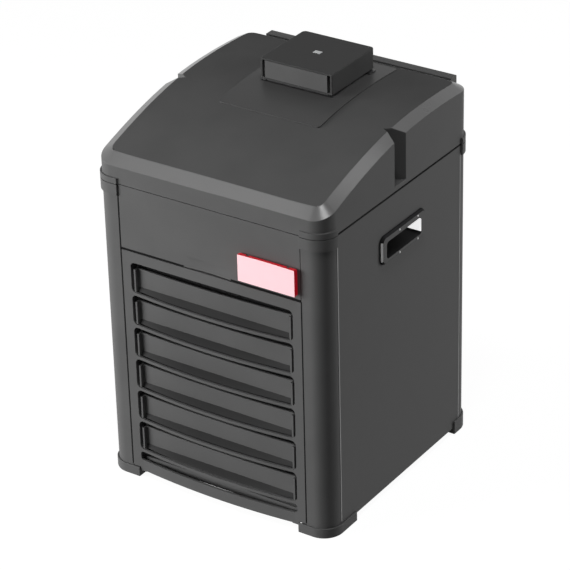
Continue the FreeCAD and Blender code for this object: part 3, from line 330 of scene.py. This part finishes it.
finishes.update({
    # Crystals in two greys, which gleam by turns as the eye moves.
    "zinc_sheet": worked("spangled_zinc_sheet", "C4C7C9", "9FA3A6", 6, 0.32, 0.45),
    # Rolled along the fin, so its tones are drawn out in streaks.
    "fin_aluminium": worked("rolled_fin_aluminium", "D5D7D8", "B4B7B9", 2, 0.25, 0.4,
                            stretch=(1, 1, 0.1)),
    # Drawn bright, then darkened in blotches by heat and hands.
    "copper_tube": worked("drawn_copper", "C98A5E", "8A5638", 5, 0.22, 0.42),
    # Glassy and hard: deep black with small clear reflections. On the tray it is painted shade.
    "black_enamel": worked("black_enamel_and_painted_shade", "1E1E1F", "161617", 3, 0.25, 0.35, metallic=0.0,
                           depth=0.03),
})
print("finishes so far:", len(finishes))

# %% [markdown]
# ## Clear and coloured plastics
# The display's cap is a shallow box of polished tinted acrylic. Its face is pale pink and its edges
# deep red, and both glow a little, which is painted light; the rounding of its rim is painted
# nearly white and glows, a painted highlight. The screen behind it is dark glass, and the module's
# light pipe is frosted so that its lamp shows evenly.

# %% Acrylic, glass and the light pipe
CLOUD_PATCH = 25 * MM
CLOUD = 0.03


def glazed(name, colour, roughness, coat, glow=0.0):
    """A smooth clear-topped plastic whose tint varies in its depth; glow is painted light, an
    emission.
    """
    material, tree = blank(name)
    place = add(tree, "ShaderNodeTexCoord").outputs["Object"]
    cloud = add(tree, "ShaderNodeTexNoise", {
        "Vector": place, "Scale": 1 / CLOUD_PATCH, "Detail": 2.0})
    tone = add(tree, "ShaderNodeMapRange", {
        0: cloud.outputs["Fac"], 1: NOISE_LOW, 2: NOISE_HIGH, 3: 1 - CLOUD, 4: 1.0})
    body = add(tree, "ShaderNodeMix", {0: 1.0, 6: linear(colour), 7: tone.outputs[0]},
               data_type="RGBA", blend_type="MULTIPLY")
    skin = add(tree, "ShaderNodeBsdfPrincipled", {
        "Base Color": body.outputs[2], "Roughness": roughness, "IOR": 1.49, "Coat Weight": coat,
        "Coat Roughness": 0.05, "Emission Color": linear(colour), "Emission Strength": glow})
    add(tree, "ShaderNodeOutputMaterial", {"Surface": skin.outputs[0]})
    return material


# Cast acrylic, polished: a clear gleam over a tint that seems to lie inside the sheet. The glow of
# all three is painted light, and the near-white rim is a painted highlight.
acrylic_face_painted_glow = glazed("tinted_acrylic_face_painted_glow", "FFD0D6", 0.25, 0.3, glow=0.2)
acrylic_edge_painted_glow = glazed("tinted_acrylic_edge_painted_glow", "D8182A", 0.15, 0.3, glow=0.22)
acrylic_rim_painted_highlight = glazed("acrylic_rim_painted_highlight_glow", "FFF1F3", 0.2, 0.4, glow=0.2)
finishes["red_acrylic"] = acrylic_edge_painted_glow
# Display glass: almost black, with mirror-like reflections.
finishes["screen_glass"] = glazed("dark_display_glass", "170F10", 0.08, 1.0)
# A blasted light pipe: pale, with no sharp highlight.
finishes["status_lens"] = glazed("frosted_light_pipe", "C9CBCC", 0.4, 0.0)
print("slots without a finish:", [slot for slot in set(slot_of.values()) if slot not in finishes])

# %% [markdown]
# ## Dressing the CAD pieces
# Every CAD piece takes the finish of its slot, so nothing is left plain where no softened copy
# stands for it. The tray alone differs: it gets the black enamel instead of its zinc, as painted
# shade, so that no bright metal shows through the lowest cell of the grille.

# %% Finishes on the CAD pieces
for node, piece in nodes.items():
    piece.data.materials.clear()
    piece.data.materials.append(finishes[slot_of[node]])
# Painted shade: the tray is coloured black where it shows through the grille.
nodes["base_tray"].data.materials[0] = finishes["black_enamel"]
print("dressed:", len(nodes))

# %% [markdown]
# ## Softened edges
# No moulded or folded edge is perfectly sharp, and the thin lines of light along edges are most of
# what makes a plastic cabinet look real. The CAD solids have sharp edges, so each visible one gets
# a copy whose loose triangles are joined into flat faces again and whose edges are rounded by a
# Bevel modifier with hardened normals, which keeps the flats flat. Where a sharp edge meets one
# that is shorter than the rounding, the new faces would fold over each other and show as black
# spots, so such an edge gets no bevel weight and is marked sharp.

# %% Join a CAD piece's triangles
SAME_POINT = 0.002 * MM
SAME_PLANE = math.radians(0.05)


def joined(node):
    """A clean mesh of a CAD piece: doubles merged and coplanar triangles made one face."""
    source = nodes[node].data
    mesh = bpy.data.meshes.new(node + "_joined")
    mesh.from_pydata([v.co for v in source.vertices], [], [p.vertices[:] for p in source.polygons])
    work = bmesh.new()
    work.from_mesh(mesh)
    bmesh.ops.remove_doubles(work, verts=work.verts, dist=SAME_POINT)
    bmesh.ops.dissolve_limit(work, angle_limit=SAME_PLANE, verts=work.verts, edges=work.edges)
    work.to_mesh(mesh)
    work.free()
    return mesh


print("the lid's loose triangles:", len(nodes["lid"].data.polygons))

# %% Choose the edges to round
CRISP = 0  # the radius for thin or finely divided pieces, whose edges all stay sharp
IN_LINE = 0.8  # cosine from which two edges at a corner run on as one line
ROOM_BY_SHARP = 2.1  # how many radii long a sharp edge beside has to be
ROOM_BY_OTHER = 1.3  # and how many any other edge


def has_room(edge, sharp, radius):
    """Whether an edge can be rounded without running over a short edge beside it."""
    for corner in edge.verts:
        way = (edge.other_vert(corner).co - corner.co).normalized()
        for beside in corner.link_edges:
            if beside is edge:
                continue
            turn = abs((beside.other_vert(corner).co - corner.co).normalized().dot(way))
            room = (ROOM_BY_SHARP if beside in sharp else ROOM_BY_OTHER) * radius
            if turn < IN_LINE and beside.calc_length() < room:
                return False
    return True


def weighed(mesh, radius, angle):
    """Mark the edges to round: the sharp ones that have room. The other sharp ones stay crisp."""
    work = bmesh.new()
    work.from_mesh(mesh)
    weight = work.edges.layers.float.new("bevel_weight_edge")
    sharp = {edge for edge in work.edges
             if len(edge.link_faces) == 2 and edge.calc_face_angle() > angle}
    for edge in sharp:
        if radius > CRISP and has_room(edge, sharp, radius):
            edge[weight] = 1.0
        else:
            edge.smooth = False
    for face in work.faces:
        face.smooth = True
    work.to_mesh(mesh)
    work.free()


# %% Round the edges and keep the result
ROUNDING_STEPS = 3


def shown(name, mesh):
    """A new object for a mesh, in the scene."""
    piece = bpy.data.objects.new(name, mesh)
    bpy.context.scene.collection.objects.link(piece)
    return piece


def baked(obj):
    """Apply an object's modifiers by turning what they make into its plain mesh."""
    graph = bpy.context.evaluated_depsgraph_get()
    mesh = bpy.data.meshes.new_from_object(obj.evaluated_get(graph))
    obj.modifiers.clear()
    obj.data = mesh
    return obj


def softened(node, radius, angle):
    """A piece that stands for a CAD node, with edges rounded to a radius in millimetres."""
    piece = shown(node + "_softened", joined(node))
    weighed(piece.data, radius * MM, math.radians(angle))
    if radius > CRISP:
        rounding = piece.modifiers.new("rounded edges", "BEVEL")
        rounding.width = radius * MM
        rounding.segments = ROUNDING_STEPS
        rounding.limit_method = "WEIGHT"
        rounding.harden_normals = True
        rounding.use_clamp_overlap = False
        baked(piece)
    piece.data.materials.clear()
    piece.data.materials.append(finishes[slot_of[node]])
    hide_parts(node)
    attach(piece, body_of[node])
    return piece


# %% [markdown]
# ## Which piece gets which edge
# A large panel is folded over a bigger radius than a small moulding, and the grille's lips and the
# thin plate on the lid stay crisp. An edge counts as sharp from 28 degrees, but the lid's chamfer
# leaves the crown at a shallower angle, so there it counts from 11.

# %% The cabinet's mouldings and panels
EDGE_RADII = {
    "front_left_pillar": 0.5, "front_right_pillar": 0.5, "rear_left_pillar": 0.5,
    "rear_right_pillar": 0.5, "front_left_foot": 0.7, "front_right_foot": 0.7,
    "rear_left_foot": 0.7, "rear_right_foot": 0.7, "right_side_panel": 1.3,
    "left_side_panel": 1.3, "control_panel": 0.35, "intake_grille": CRISP,
    "lid_label_plate": CRISP, "module_case": 0.9, "module_front_plate": 0.4,
    "module_bracket": 0.5, "module_status_lens": 0.3, "rear_cover": 0.5, "right_handle": 0.5,
    "left_handle": 0.5, "controller_body": 0.3, "set_key": 0.4, "down_key": 0.4, "up_key": 0.4,
    "mains_inlet": 0.5, "water_inlet_fitting": 0.4, "water_outlet_fitting": 0.4,
    "water_inlet_elbow": 0.3, "water_outlet_elbow": 0.3, "lid": 0.5, "display_flap": 0.5,
}
SHARP_FROM = 28
SHALLOW = {"lid": 11}
pieces = {node: softened(node, radius, SHALLOW.get(node, SHARP_FROM))
          for node, radius in EDGE_RADII.items()}
print("softened pieces:", len(pieces), "with",
      sum(len(piece.data.polygons) for piece in pieces.values()), "faces")

# %% [markdown]
# ## One piece, two finishes
# Some mouldings change their finish without a joint. The lid's top has a coarser grain than the
# cabinet and hardly shines, but its chamfer was left polished by the mould, and it is the
# brightest line of the unit. The faces are picked by where they are and which way they look, and
# get the second material slot. A normal's z is 1 on a face that looks straight up and 0 on an
# upright one, so a slope lies between, and the chamfer's slopes are near the edge of the plan.

# %% The lid's grain and its polished chamfer
CORNER_RADIUS = 22 * MM
CHAMFER_RUN = 13 * MM
TOP_FROM = SEAM + 15 * MM
SLACK = 0.4 * MM


def refinished(piece, material, chosen):
    """Give one more material to the faces for which chosen(centre, normal) is true."""
    piece.data.materials.append(material)
    count = 0
    for face in piece.data.polygons:
        if chosen(face.center, face.normal):
            face.material_index = len(piece.data.materials) - 1
            count += 1
    print(piece.name, "faces in", material.name + ":", count)


def inset(point):
    """How far a point lies inside the cabinet's rounded plan."""
    dx = abs(point.x) - (SIDE - CORNER_RADIUS)
    dy = abs(point.y - (FRONT + REAR) / 2) - ((REAR - FRONT) / 2 - CORNER_RADIUS)
    if dx > 0 and dy > 0:
        return CORNER_RADIUS - math.hypot(dx, dy)
    return CORNER_RADIUS - max(dx, dy)


def on_the_top(centre, normal):
    """A face of the lid that looks up, its chamfer among them."""
    return centre.z > TOP_FROM and normal.z > 0.5


def on_the_chamfer(centre, normal):
    """A sloping face at the edge of the lid's top."""
    return centre.z > TOP_FROM and 0.6 < normal.z < 0.96 and inset(centre) < CHAMFER_RUN + SLACK


lid_grain = moulded("coarse_grained_lid_abs", "5E5E5E", 0.9, 0.6, 0.7, depth=0.03, specular=0.0)
polished_edge = moulded("polished_chamfer_abs", "5E5E5E", 0.8, 0.27, 0.31, depth=0.004)
refinished(pieces["lid"], lid_grain, on_the_top)
refinished(pieces["lid"], polished_edge, on_the_chamfer)

# %% [markdown]
# ## The grille's vanes
# Each cell of the grille is a dished vane whose foot ramps out to the lip below it. The ramp is
# coloured darker than the rest of the vane, as painted shade for the dark slot under each vane.
# The cells repeat at one pitch, so a face's height below the top cell, less whole pitches, tells
# whether it is on a ramp.

# %% Ramps darkened with painted shade
CELL_TOP = 279.0 * MM
CELL_PITCH = 40.8 * MM
RAMP_HEAD = 31.7 * MM
RAMP_FOOT = 37.3 * MM
LOWEST_RAMP = 36 * MM
VANE_HALF = 102 * MM


def on_a_ramp(centre, normal):
    """A face of the sloping foot of one of the six full vanes."""
    below = (CELL_TOP - centre.z) % CELL_PITCH
    inside = centre.z > LOWEST_RAMP and abs(centre.x) < VANE_HALF
    return inside and RAMP_HEAD < below < RAMP_FOOT and 0.3 < normal.z < 0.97 and normal.y < -0.15


# Painted shade: the ramps are coloured darker than the cabinet.
ramp_painted_shade = moulded("ramp_abs_painted_shade", "363636", 1.2, 0.6, 0.7, depth=0.05,
                      specular=0.05)
refinished(pieces["intake_grille"], ramp_painted_shade, on_a_ramp)

# %% [markdown]
# ## Painted highlights on the panel edges, and the module's face
# The long front edges of the side panels are coloured paler and shinier than the panels, as a
# painted highlight. The module's front plate is a touch paler than its case.

# %% Panel edges and front plate
PANEL_EDGE = 1.5 * MM
# Painted highlight: a pale colour on the panels' front edges, where they catch the light.
panel_edge_painted_highlight = moulded("abs_edge_painted_highlight", "A6A6A6", 0.8, 0.3, 0.36, depth=0.004, specular=0.4)
module_face = moulded("module_face_abs", "585858", 0.5, 0.42, 0.5, depth=0.012, specular=0.08)
for panel in ("right_side_panel", "left_side_panel"):
    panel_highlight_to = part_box(panel)[0].y + PANEL_EDGE
    refinished(pieces[panel], panel_edge_painted_highlight, lambda centre, normal:
               normal.y < -0.25 and abs(normal.x) > 0.25 and centre.y < panel_highlight_to)
refinished(pieces["module_front_plate"], module_face, lambda centre, normal: True)

# %% [markdown]
# ## The carrying handles
# A handle is a cup let into the side panel, with a raised bezel round it. The bezel's flat face is
# the cabinet's own plastic. Its chamfer and the cup are coloured darker and duller than the
# handle's black plastic, as painted shade, and the short chamfer at its front end, which looks
# towards the light, is painted near white, a painted highlight. The cup's rear end is white and
# glows, which is painted light.

# %% Finishes of the carrying handles
BEZEL_CHAMFER = 2.2 * MM
BEZEL_FROM = SIDE + 0.5 * MM
FACE_FROM = SIDE - 1 * MM
CUP_TO = SIDE + 1 * MM
GLOW_END_DEPTH = 11 * MM
handle_painted_shade = moulded("black_abs_painted_shade", "1C1C1D", 0.8, 0.6, 0.7, specular=0.05)
bezel_painted_highlight = moulded("bezel_edge_painted_highlight", "F0F0F0", 0.8, 0.3, 0.36, depth=0.004)
cup_end_painted_glow = glazed("cup_end_painted_light", "FAFAFA", 0.45, 0.0, glow=0.85)
for side, way in (("right", 1), ("left", -1)):
    handle = pieces[side + "_handle"]
    low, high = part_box(side + "_handle")
    bezel_highlight_to, glow_from = low.y + BEZEL_CHAMFER, high.y - GLOW_END_DEPTH
    # Painted shade: the chamfers and the cup are darker than the handle's own black.
    refinished(handle, handle_painted_shade, lambda centre, normal: normal.x * way < 0.95)
    refinished(handle, finishes["cabinet_abs"], lambda centre, normal:
               abs(centre.x) > FACE_FROM and normal.x * way > 0.95)
    # Painted highlight: the front end of the bezel's chamfer is near white.
    refinished(handle, bezel_painted_highlight, lambda centre, normal:
               centre.y < bezel_highlight_to and abs(centre.x) > BEZEL_FROM and normal.y < -0.5
               and 0.4 < normal.x * way < 0.9 and abs(normal.z) < 0.2)
    # Painted light: the cup's rear end is white and glows, though it is no lamp.
    refinished(handle, cup_end_painted_glow, lambda centre, normal:
               normal.y < -0.9 and centre.y > glow_from and abs(centre.x) < CUP_TO)

# %% [markdown]
# ## The display's cap
# The cap over the display is moulded acrylic with a slightly bowed top edge. Its rim turns back
# a little way towards the panel, lower at its back so that it clears the panel when the cap
# lifts. The rim is deep red with a painted glow, and its lower and left rounding is painted nearly
# white and glows, a painted highlight. The rim and face are one thin tray over the CAD
# cap: an outline drawn as points, given depth as rings of points with faces between them, and
# rounded at its front.

# %% Outline and rings of the tray
CAP_BOW = 0.6 * MM
CAP_BACK_BOW = 0.1 * MM
CAP_SKIN = 0.1 * MM
CAP_FRONT_SKIN = 0.3 * MM
CAP_FLOOR = 0.2 * MM
CAP_RIM_DEPTH = 2.4 * MM
BOW_STEPS = 16


def tray_outline(low, high, grow, bow):
    """The cap's outline seen from the front, anticlockwise, with a bowed top."""
    x0, x1, z0, z1 = low.x - grow, high.x + grow, low.z - grow, high.z + grow
    top = [(x1 + (x0 - x1) * i / BOW_STEPS, z1 + bow * (1 - (2 * i / BOW_STEPS - 1) ** 2))
           for i in range(BOW_STEPS + 1)]
    return [(x0, z0), (x1, z0)] + top


def bowed_tray():
    """Front face, rim and inner wall of the tray, as one mesh."""
    low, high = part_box("display_flap")
    front = low.y - CAP_FRONT_SKIN
    back = front + CAP_RIM_DEPTH
    rings = [(CAP_SKIN, front, CAP_BOW), (CAP_SKIN, back, CAP_BACK_BOW), (-CAP_SKIN, back, 0.0),
             (-CAP_SKIN, low.y + CAP_FLOOR, 0.0)]
    work = bmesh.new()
    loops = [[work.verts.new((x, y, z)) for x, z in tray_outline(low, high, grow, bow)]
             for grow, y, bow in rings]
    for near, far in zip(loops, loops[1:]):
        for i in range(len(near)):
            j = (i + 1) % len(near)
            work.faces.new((near[i], near[j], far[j], far[i]))
    work.faces.new(loops[0])
    work.faces.new(list(reversed(loops[-1])))
    bmesh.ops.recalc_face_normals(work, faces=work.faces)
    mesh = bpy.data.meshes.new("display_cap_tray")
    work.to_mesh(mesh)
    work.free()
    return mesh


tray = shown("display_cap_tray", bowed_tray())
print("the tray's faces:", len(tray.data.polygons))

# %% Round the tray's front and finish the cap
CAP_ROUNDING = 1.3 * MM
FINE_EDGE = 0.1 * MM
weighed(tray.data, FINE_EDGE, math.radians(SHARP_FROM))
rounding = tray.modifiers.new("rounded rim", "BEVEL")
rounding.width = CAP_ROUNDING
rounding.segments = ROUNDING_STEPS
rounding.limit_method = "ANGLE"
rounding.angle_limit = math.radians(60)
rounding.harden_normals = True
baked(tray)
tray.data.materials.clear()
tray.data.materials.append(acrylic_edge_painted_glow)
refinished(tray, acrylic_face_painted_glow, lambda centre, normal: normal.y < -0.97)
# Painted highlight: the rim's lower and left rounding is near white and glows.
refinished(tray, acrylic_rim_painted_highlight, lambda centre, normal:
           -0.97 < normal.y < -0.2 and normal.z - abs(normal.y) * 0.1 < 0.05 and normal.x < 0.2)
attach(tray, "flap")
face_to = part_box("display_flap")[0].y + SLACK
refinished(pieces["display_flap"], acrylic_face_painted_glow, lambda centre, normal:
           normal.y < -0.9 and centre.y < face_to)

# %% [markdown]
# ## Painted shade in the seams
# The panels meet on thin black strips that stand level with the surface, and they are painted
# shade: they draw the dark lines of the gaps between the mouldings, across the front above the
# grille, except where the finger scoop is, up the posts, and along the sides under the lid. Each is
# a flat strip a few tenths of a millimetre proud of the panel that holds it.

# %% Black strips of painted shade
SHADE_STRIP_PROUD = 0.2 * MM
SHADE_STRIP_DEPTH = 1 * MM
SCOOP_LEFT = -34 * MM
SCOOP_RIGHT = 28 * MM
FOOT_TOP = 14 * MM


def strips_of(name, boxes):
    """Flat strips as one piece, each given as its spans along x, y and z."""
    work = bmesh.new()
    for spans in boxes:
        for corner in bmesh.ops.create_cube(work, size=1.0)["verts"]:
            corner.co = [span[0] if value < 0 else span[1] for value, span in zip(corner.co, spans)]
    bmesh.ops.recalc_face_normals(work, faces=work.faces)
    mesh = bpy.data.meshes.new(name)
    work.to_mesh(mesh)
    work.free()
    print(name, "strips:", len(boxes))
    return shown(name, mesh)


line_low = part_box("control_panel")[0].z
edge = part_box("intake_grille")[1].x
in_front = (FRONT - SHADE_STRIP_PROUD, FRONT + SHADE_STRIP_DEPTH)
along_side = (FRONT + CORNER_RADIUS, REAR - CORNER_RADIUS)
under_lid = (SEAM - 2.0 * MM, SEAM - 0.2 * MM)
seam_shade_strips = strips_of("seam_painted_shade", [
    ((-edge, SCOOP_LEFT), in_front, (line_low - 0.6 * MM, line_low + 1.6 * MM)),
    ((SCOOP_RIGHT, edge), in_front, (line_low - 0.6 * MM, line_low + 2.0 * MM)),
    ((edge - 0.2 * MM, edge + 1.2 * MM), in_front, (FOOT_TOP, line_low)),
    ((-edge - 1.6 * MM, -edge), in_front, (FOOT_TOP, SEAM - 1 * MM)),
    ((SIDE - SHADE_STRIP_DEPTH, SIDE + SHADE_STRIP_PROUD), along_side, under_lid),
    ((-SIDE - SHADE_STRIP_PROUD, -SIDE + SHADE_STRIP_DEPTH), along_side, under_lid),
])
# Painted shade: black strips stand for the dark gaps in the seams.
seam_shade_strips.data.materials.append(
    moulded("black_painted_seam_shade", "161616", 1.0, 0.7, 0.85, depth=0.02, specular=0.05))
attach(seam_shade_strips, "cabinet")

# %% [markdown]
# ## Painted highlights beside the posts
# Beside each post a thin pale line runs up the side panel's edge from the foot to the post's
# collar: a painted highlight for the light that the edge catches. It is a strip too, about a tenth
# of a millimetre proud.

# %% Strips of painted highlight
EDGE_HIGHLIGHT_WIDTH = 1.8 * MM
EDGE_HIGHLIGHT_PROUD = 0.15 * MM
COLLAR_FOOT = SEAM - 11 * MM
panel_low, panel_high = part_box("right_side_panel")
post_edge_highlights = strips_of("post_edge_painted_highlights", [
    ((way * SIDE - EDGE_HIGHLIGHT_PROUD, way * SIDE + EDGE_HIGHLIGHT_PROUD), (y0, y0 + EDGE_HIGHLIGHT_WIDTH),
     (FOOT_TOP, COLLAR_FOOT))
    for way in (-1, 1) for y0 in (panel_low.y, panel_high.y - EDGE_HIGHLIGHT_WIDTH)])
# Painted highlight: pale strips for the light caught along the panels' edges beside the posts.
post_edge_highlights.data.materials.append(
    moulded("post_edge_painted_highlight", "8E8E8E", 0.8, 0.35, 0.42, depth=0.004, specular=0.3))
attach(post_edge_highlights, "cabinet")

# %% [markdown]
# ## What repeats: bars in a row and heads on points
# Geometry Nodes suit parts that repeat. One tree sets a bar on every point of a row: it makes the
# dust filter's threads, both ways, and the condenser's closely set fins. Another sets a low head
# with a cross recess on given points: the rear cover's screws, and without much of a recess the
# handles' small pins. Both end in Realize Instances and Set Material, because instances are lost in
# an exported model, and what they make is kept as a plain mesh.

# %% The tree for bars in a row
def new_tree(name, inputs):
    """A node tree with a geometry in and out and the named inputs, given as name to kind."""
    tree = bpy.data.node_groups.new(name, "GeometryNodeTree")
    tree.interface.new_socket("Geometry", in_out="OUTPUT", socket_type="NodeSocketGeometry")
    tree.interface.new_socket("Geometry", in_out="INPUT", socket_type="NodeSocketGeometry")
    for label, kind in inputs.items():
        tree.interface.new_socket(label, in_out="INPUT", socket_type="NodeSocket" + kind)
    return tree, tree.nodes.new("NodeGroupInput").outputs


def closed_off(tree, instances, finish):
    """Realize the instances, give them their material and send them out."""
    solid = add(tree, "GeometryNodeRealizeInstances", {"Geometry": instances})
    dressed = add(tree, "GeometryNodeSetMaterial", {
        "Geometry": solid.outputs[0], "Material": finish})
    add(tree, "NodeGroupOutput", {"Geometry": dressed.outputs[0]})


bar_row, given = new_tree("row_of_bars", {
    "Count": "Int", "First": "Vector", "Step": "Vector", "Bar": "Vector", "Finish": "Material"})
line = add(bar_row, "GeometryNodeMeshLine", {
    "Count": given["Count"], "Start Location": given["First"], "Offset": given["Step"]},
    mode="OFFSET")
bar = add(bar_row, "GeometryNodeMeshCube", {"Size": given["Bar"]})
row = add(bar_row, "GeometryNodeInstanceOnPoints", {
    "Points": line.outputs[0], "Instance": bar.outputs[0]})
closed_off(bar_row, row.outputs[0], given["Finish"])
print(bar_row.name, "nodes:", len(bar_row.nodes))

# %% The tree for heads on points
HEAD_SIDES = 20
head_set, given = new_tree("heads_on_points", {
    "Radius": "Float", "Top radius": "Float", "Height": "Float", "Recess": "Vector",
    "Turn": "Vector", "Finish": "Material"})
head = add(head_set, "GeometryNodeMeshCone", {
    "Vertices": HEAD_SIDES, "Radius Top": given["Top radius"], "Radius Bottom": given["Radius"],
    "Depth": given["Height"]})
seat = add(head_set, "ShaderNodeCombineXYZ", {"Z": given["Height"]})
blade = add(head_set, "GeometryNodeMeshCube", {"Size": given["Recess"]})
raised = add(head_set, "GeometryNodeTransform", {
    "Geometry": blade.outputs[0], "Translation": seat.outputs[0]})
crossed = add(head_set, "GeometryNodeTransform", {
    "Geometry": raised.outputs[0], "Rotation": (0, 0, math.pi / 2)})
cut_once = add(head_set, "GeometryNodeMeshBoolean", {
    "Mesh 1": head.outputs[0], "Mesh 2": raised.outputs[0]}, operation="DIFFERENCE")
cut_twice = add(head_set, "GeometryNodeMeshBoolean", {
    "Mesh 1": cut_once.outputs[0], "Mesh 2": crossed.outputs[0]}, operation="DIFFERENCE")
turned = add(head_set, "FunctionNodeEulerToRotation", {0: given["Turn"]})
set_out = add(head_set, "GeometryNodeInstanceOnPoints", {
    "Points": given["Geometry"], "Instance": cut_twice.outputs[0], "Rotation": turned.outputs[0]})
closed_off(head_set, set_out.outputs[0], given["Finish"])
print(head_set.name, "nodes:", len(head_set.nodes))

# %% Run a tree and join its pieces
def grown(name, tree, values, points=()):
    """Run a tree on some points and keep what it makes as a plain mesh."""
    seeds = bpy.data.meshes.new(name)
    seeds.from_pydata([tuple(point) for point in points], [], [])
    piece = shown(name, seeds)
    maker = piece.modifiers.new("maker", "NODES")
    maker.node_group = tree
    for socket in tree.interface.items_tree:
        if socket.in_out == "INPUT" and socket.name in values:
            maker[socket.identifier] = values[socket.name]
    baked(piece)
    piece.data.materials.clear()
    piece.data.materials.append(values["Finish"])
    for face in piece.data.polygons:
        face.material_index = 0
    print(name, len(piece.data.polygons), "faces")
    return piece


def merged(name, parts):
    """One object from several that ride on the same body."""
    work = bmesh.new()
    for part in parts:
        work.from_mesh(part.data)
    mesh = bpy.data.meshes.new(name)
    mesh.materials.append(parts[0].data.materials[0])
    work.to_mesh(mesh)
    work.free()
    for part in parts:
        bpy.data.objects.remove(part)
    return shown(name, mesh)


# %% [markdown]
# ## The dust filter
# Behind the grille a woven polyester mesh in a flat frame keeps dust out of the condenser. Real
# threads are a few tenths of a millimetre thick, and these are drawn coarser so that they show
# between the vanes. A black sheet behind them is painted shade for the dark inside of the cabinet,
# and it stops the view into it.

# %% Threads, frame and a sheet of painted shade
THREAD = 0.5 * MM
THREAD_STEP = 2.2 * MM
OVER = 0.3 * MM
FRAME = 4 * MM
MARGIN = 1 * MM
SHADE_SHEET = 0.6 * MM
SHADE_SHEET_BACK = 0.4 * MM
low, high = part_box("dust_filter")
middle = (low + high) / 2
size = high - low
rows = {
    "upright_threads": (int(size.x / THREAD_STEP), (low.x + THREAD_STEP / 2, middle.y, middle.z),
                        (THREAD_STEP, 0, 0), (THREAD, THREAD, size.z - MARGIN)),
    "level_threads": (int(size.z / THREAD_STEP), (0, middle.y + OVER, low.z + THREAD_STEP / 2),
                      (0, 0, THREAD_STEP), (size.x - MARGIN, THREAD, THREAD)),
    "upright_rims": (2, (low.x + FRAME / 2, middle.y, middle.z), (size.x - FRAME, 0, 0),
                     (FRAME, size.y, size.z)),
    "level_rims": (2, (0, middle.y, low.z + FRAME / 2), (0, 0, size.z - FRAME),
                   (size.x, size.y, FRAME)),
    # Painted shade: a black sheet behind the threads, for the dark inside of the cabinet.
    "backing_painted_shade": (1, (0, high.y - SHADE_SHEET_BACK, middle.z), (0, 0, 1),
                       (size.x - MARGIN, SHADE_SHEET, size.z - MARGIN)),
}
filter_piece = merged("woven_dust_filter", [
    grown(name, bar_row, {"Count": count, "First": first, "Step": step, "Bar": bar,
                          "Finish": finishes["filter_mesh"]})
    for name, (count, first, step, bar) in rows.items()])
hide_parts("dust_filter")
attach(filter_piece, body_of["dust_filter"])

# %% [markdown]
# ## The condenser's fins
# A real condenser has a fin every millimetre or two, far more than its CAD solid. Thin bars of
# rolled aluminium fill the space between the CAD fins, a little inside the block on every side.

# %% Close fins
FIN_STEP = 1.9 * MM
FIN_THICKNESS = 0.2 * MM
FIN_START = 4 * MM
low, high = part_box("condenser")
middle = (low + high) / 2
size = high - low
fins = grown("close_condenser_fins", bar_row, {
    "Count": int((size.x - 2 * FIN_START) / FIN_STEP), "Step": (FIN_STEP, 0, 0),
    "First": (low.x + FIN_START, middle.y, middle.z),
    "Bar": (FIN_THICKNESS, size.y - 3 * MM, size.z - 2 * MM), "Finish": finishes["fin_aluminium"]})
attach(fins, "cabinet")

# %% [markdown]
# ## The rear cover's screws
# Six pan-head screws hold the rear cover: at its four corners and half-way up each side. Their
# heads have a cross recess, and they are zinc plated. Each stands where the CAD screws stand.

# %% Cross-recess screws
SCREW_RADIUS = 4 * MM
SCREW_TOP = 3.1 * MM
SCREW_HEIGHT = 1.8 * MM
SCREW_RECESS = (4.2 * MM, 0.9 * MM, 2.0 * MM)
# Zinc plating over steel: a cool gleam, mottled in patches of a millimetre or two.
screw_steel = worked("zinc_plated_screw_steel", "BEC1C4", "8D9194", 1.5, 0.25, 0.4)
low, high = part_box("rear_cover_screws")
cover_low, cover_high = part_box("rear_cover")
heights = (low.z + SCREW_RADIUS, cover_low.z / 2 + cover_high.z / 2, high.z - SCREW_RADIUS)
screws = grown("cross_recess_screws", head_set, {
    "Radius": SCREW_RADIUS, "Top radius": SCREW_TOP, "Height": SCREW_HEIGHT,
    "Recess": SCREW_RECESS, "Turn": (-math.pi / 2, 0, 0), "Finish": screw_steel},
    [(x, (low.y + high.y) / 2 - SCREW_HEIGHT / 2, z)
     for x in (low.x + SCREW_RADIUS, high.x - SCREW_RADIUS) for z in heights])
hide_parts("rear_cover_screws")
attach(screws, "cabinet")

# %% [markdown]
# ## The handles' pins
# Four small pale pins hold each handle's bezel to the panel, one near each corner. Seen from a
# step away they are only light dots, so they are low heads with a very shallow recess.

# %% Pins round the handles
PIN_PLACES = [(y * MM, z * MM) for y in (-31.5, 6.2) for z in (298.1, 325.9)]
PIN_RADIUS = 1.4 * MM
PIN_TOP = 1.0 * MM
PIN_HEIGHT = 0.6 * MM
PIN_RECESS = (0.9 * MM, 0.25 * MM, 0.5 * MM)
PIN_SUNK = 0.1 * MM
pin_finish = moulded("pale_moulded_plug", "E2E2E2", 0.8, 0.4, 0.5, depth=0.004)
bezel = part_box("right_handle")[1].x
pins = merged("handle_pins", [
    grown("pins", head_set, {
        "Radius": PIN_RADIUS, "Top radius": PIN_TOP, "Height": PIN_HEIGHT, "Recess": PIN_RECESS,
        "Turn": (0, way * math.pi / 2, 0), "Finish": pin_finish},
        [(way * (bezel - PIN_SUNK), y, z) for y, z in PIN_PLACES])
    for way in (1, -1)])
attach(pins, "cabinet")
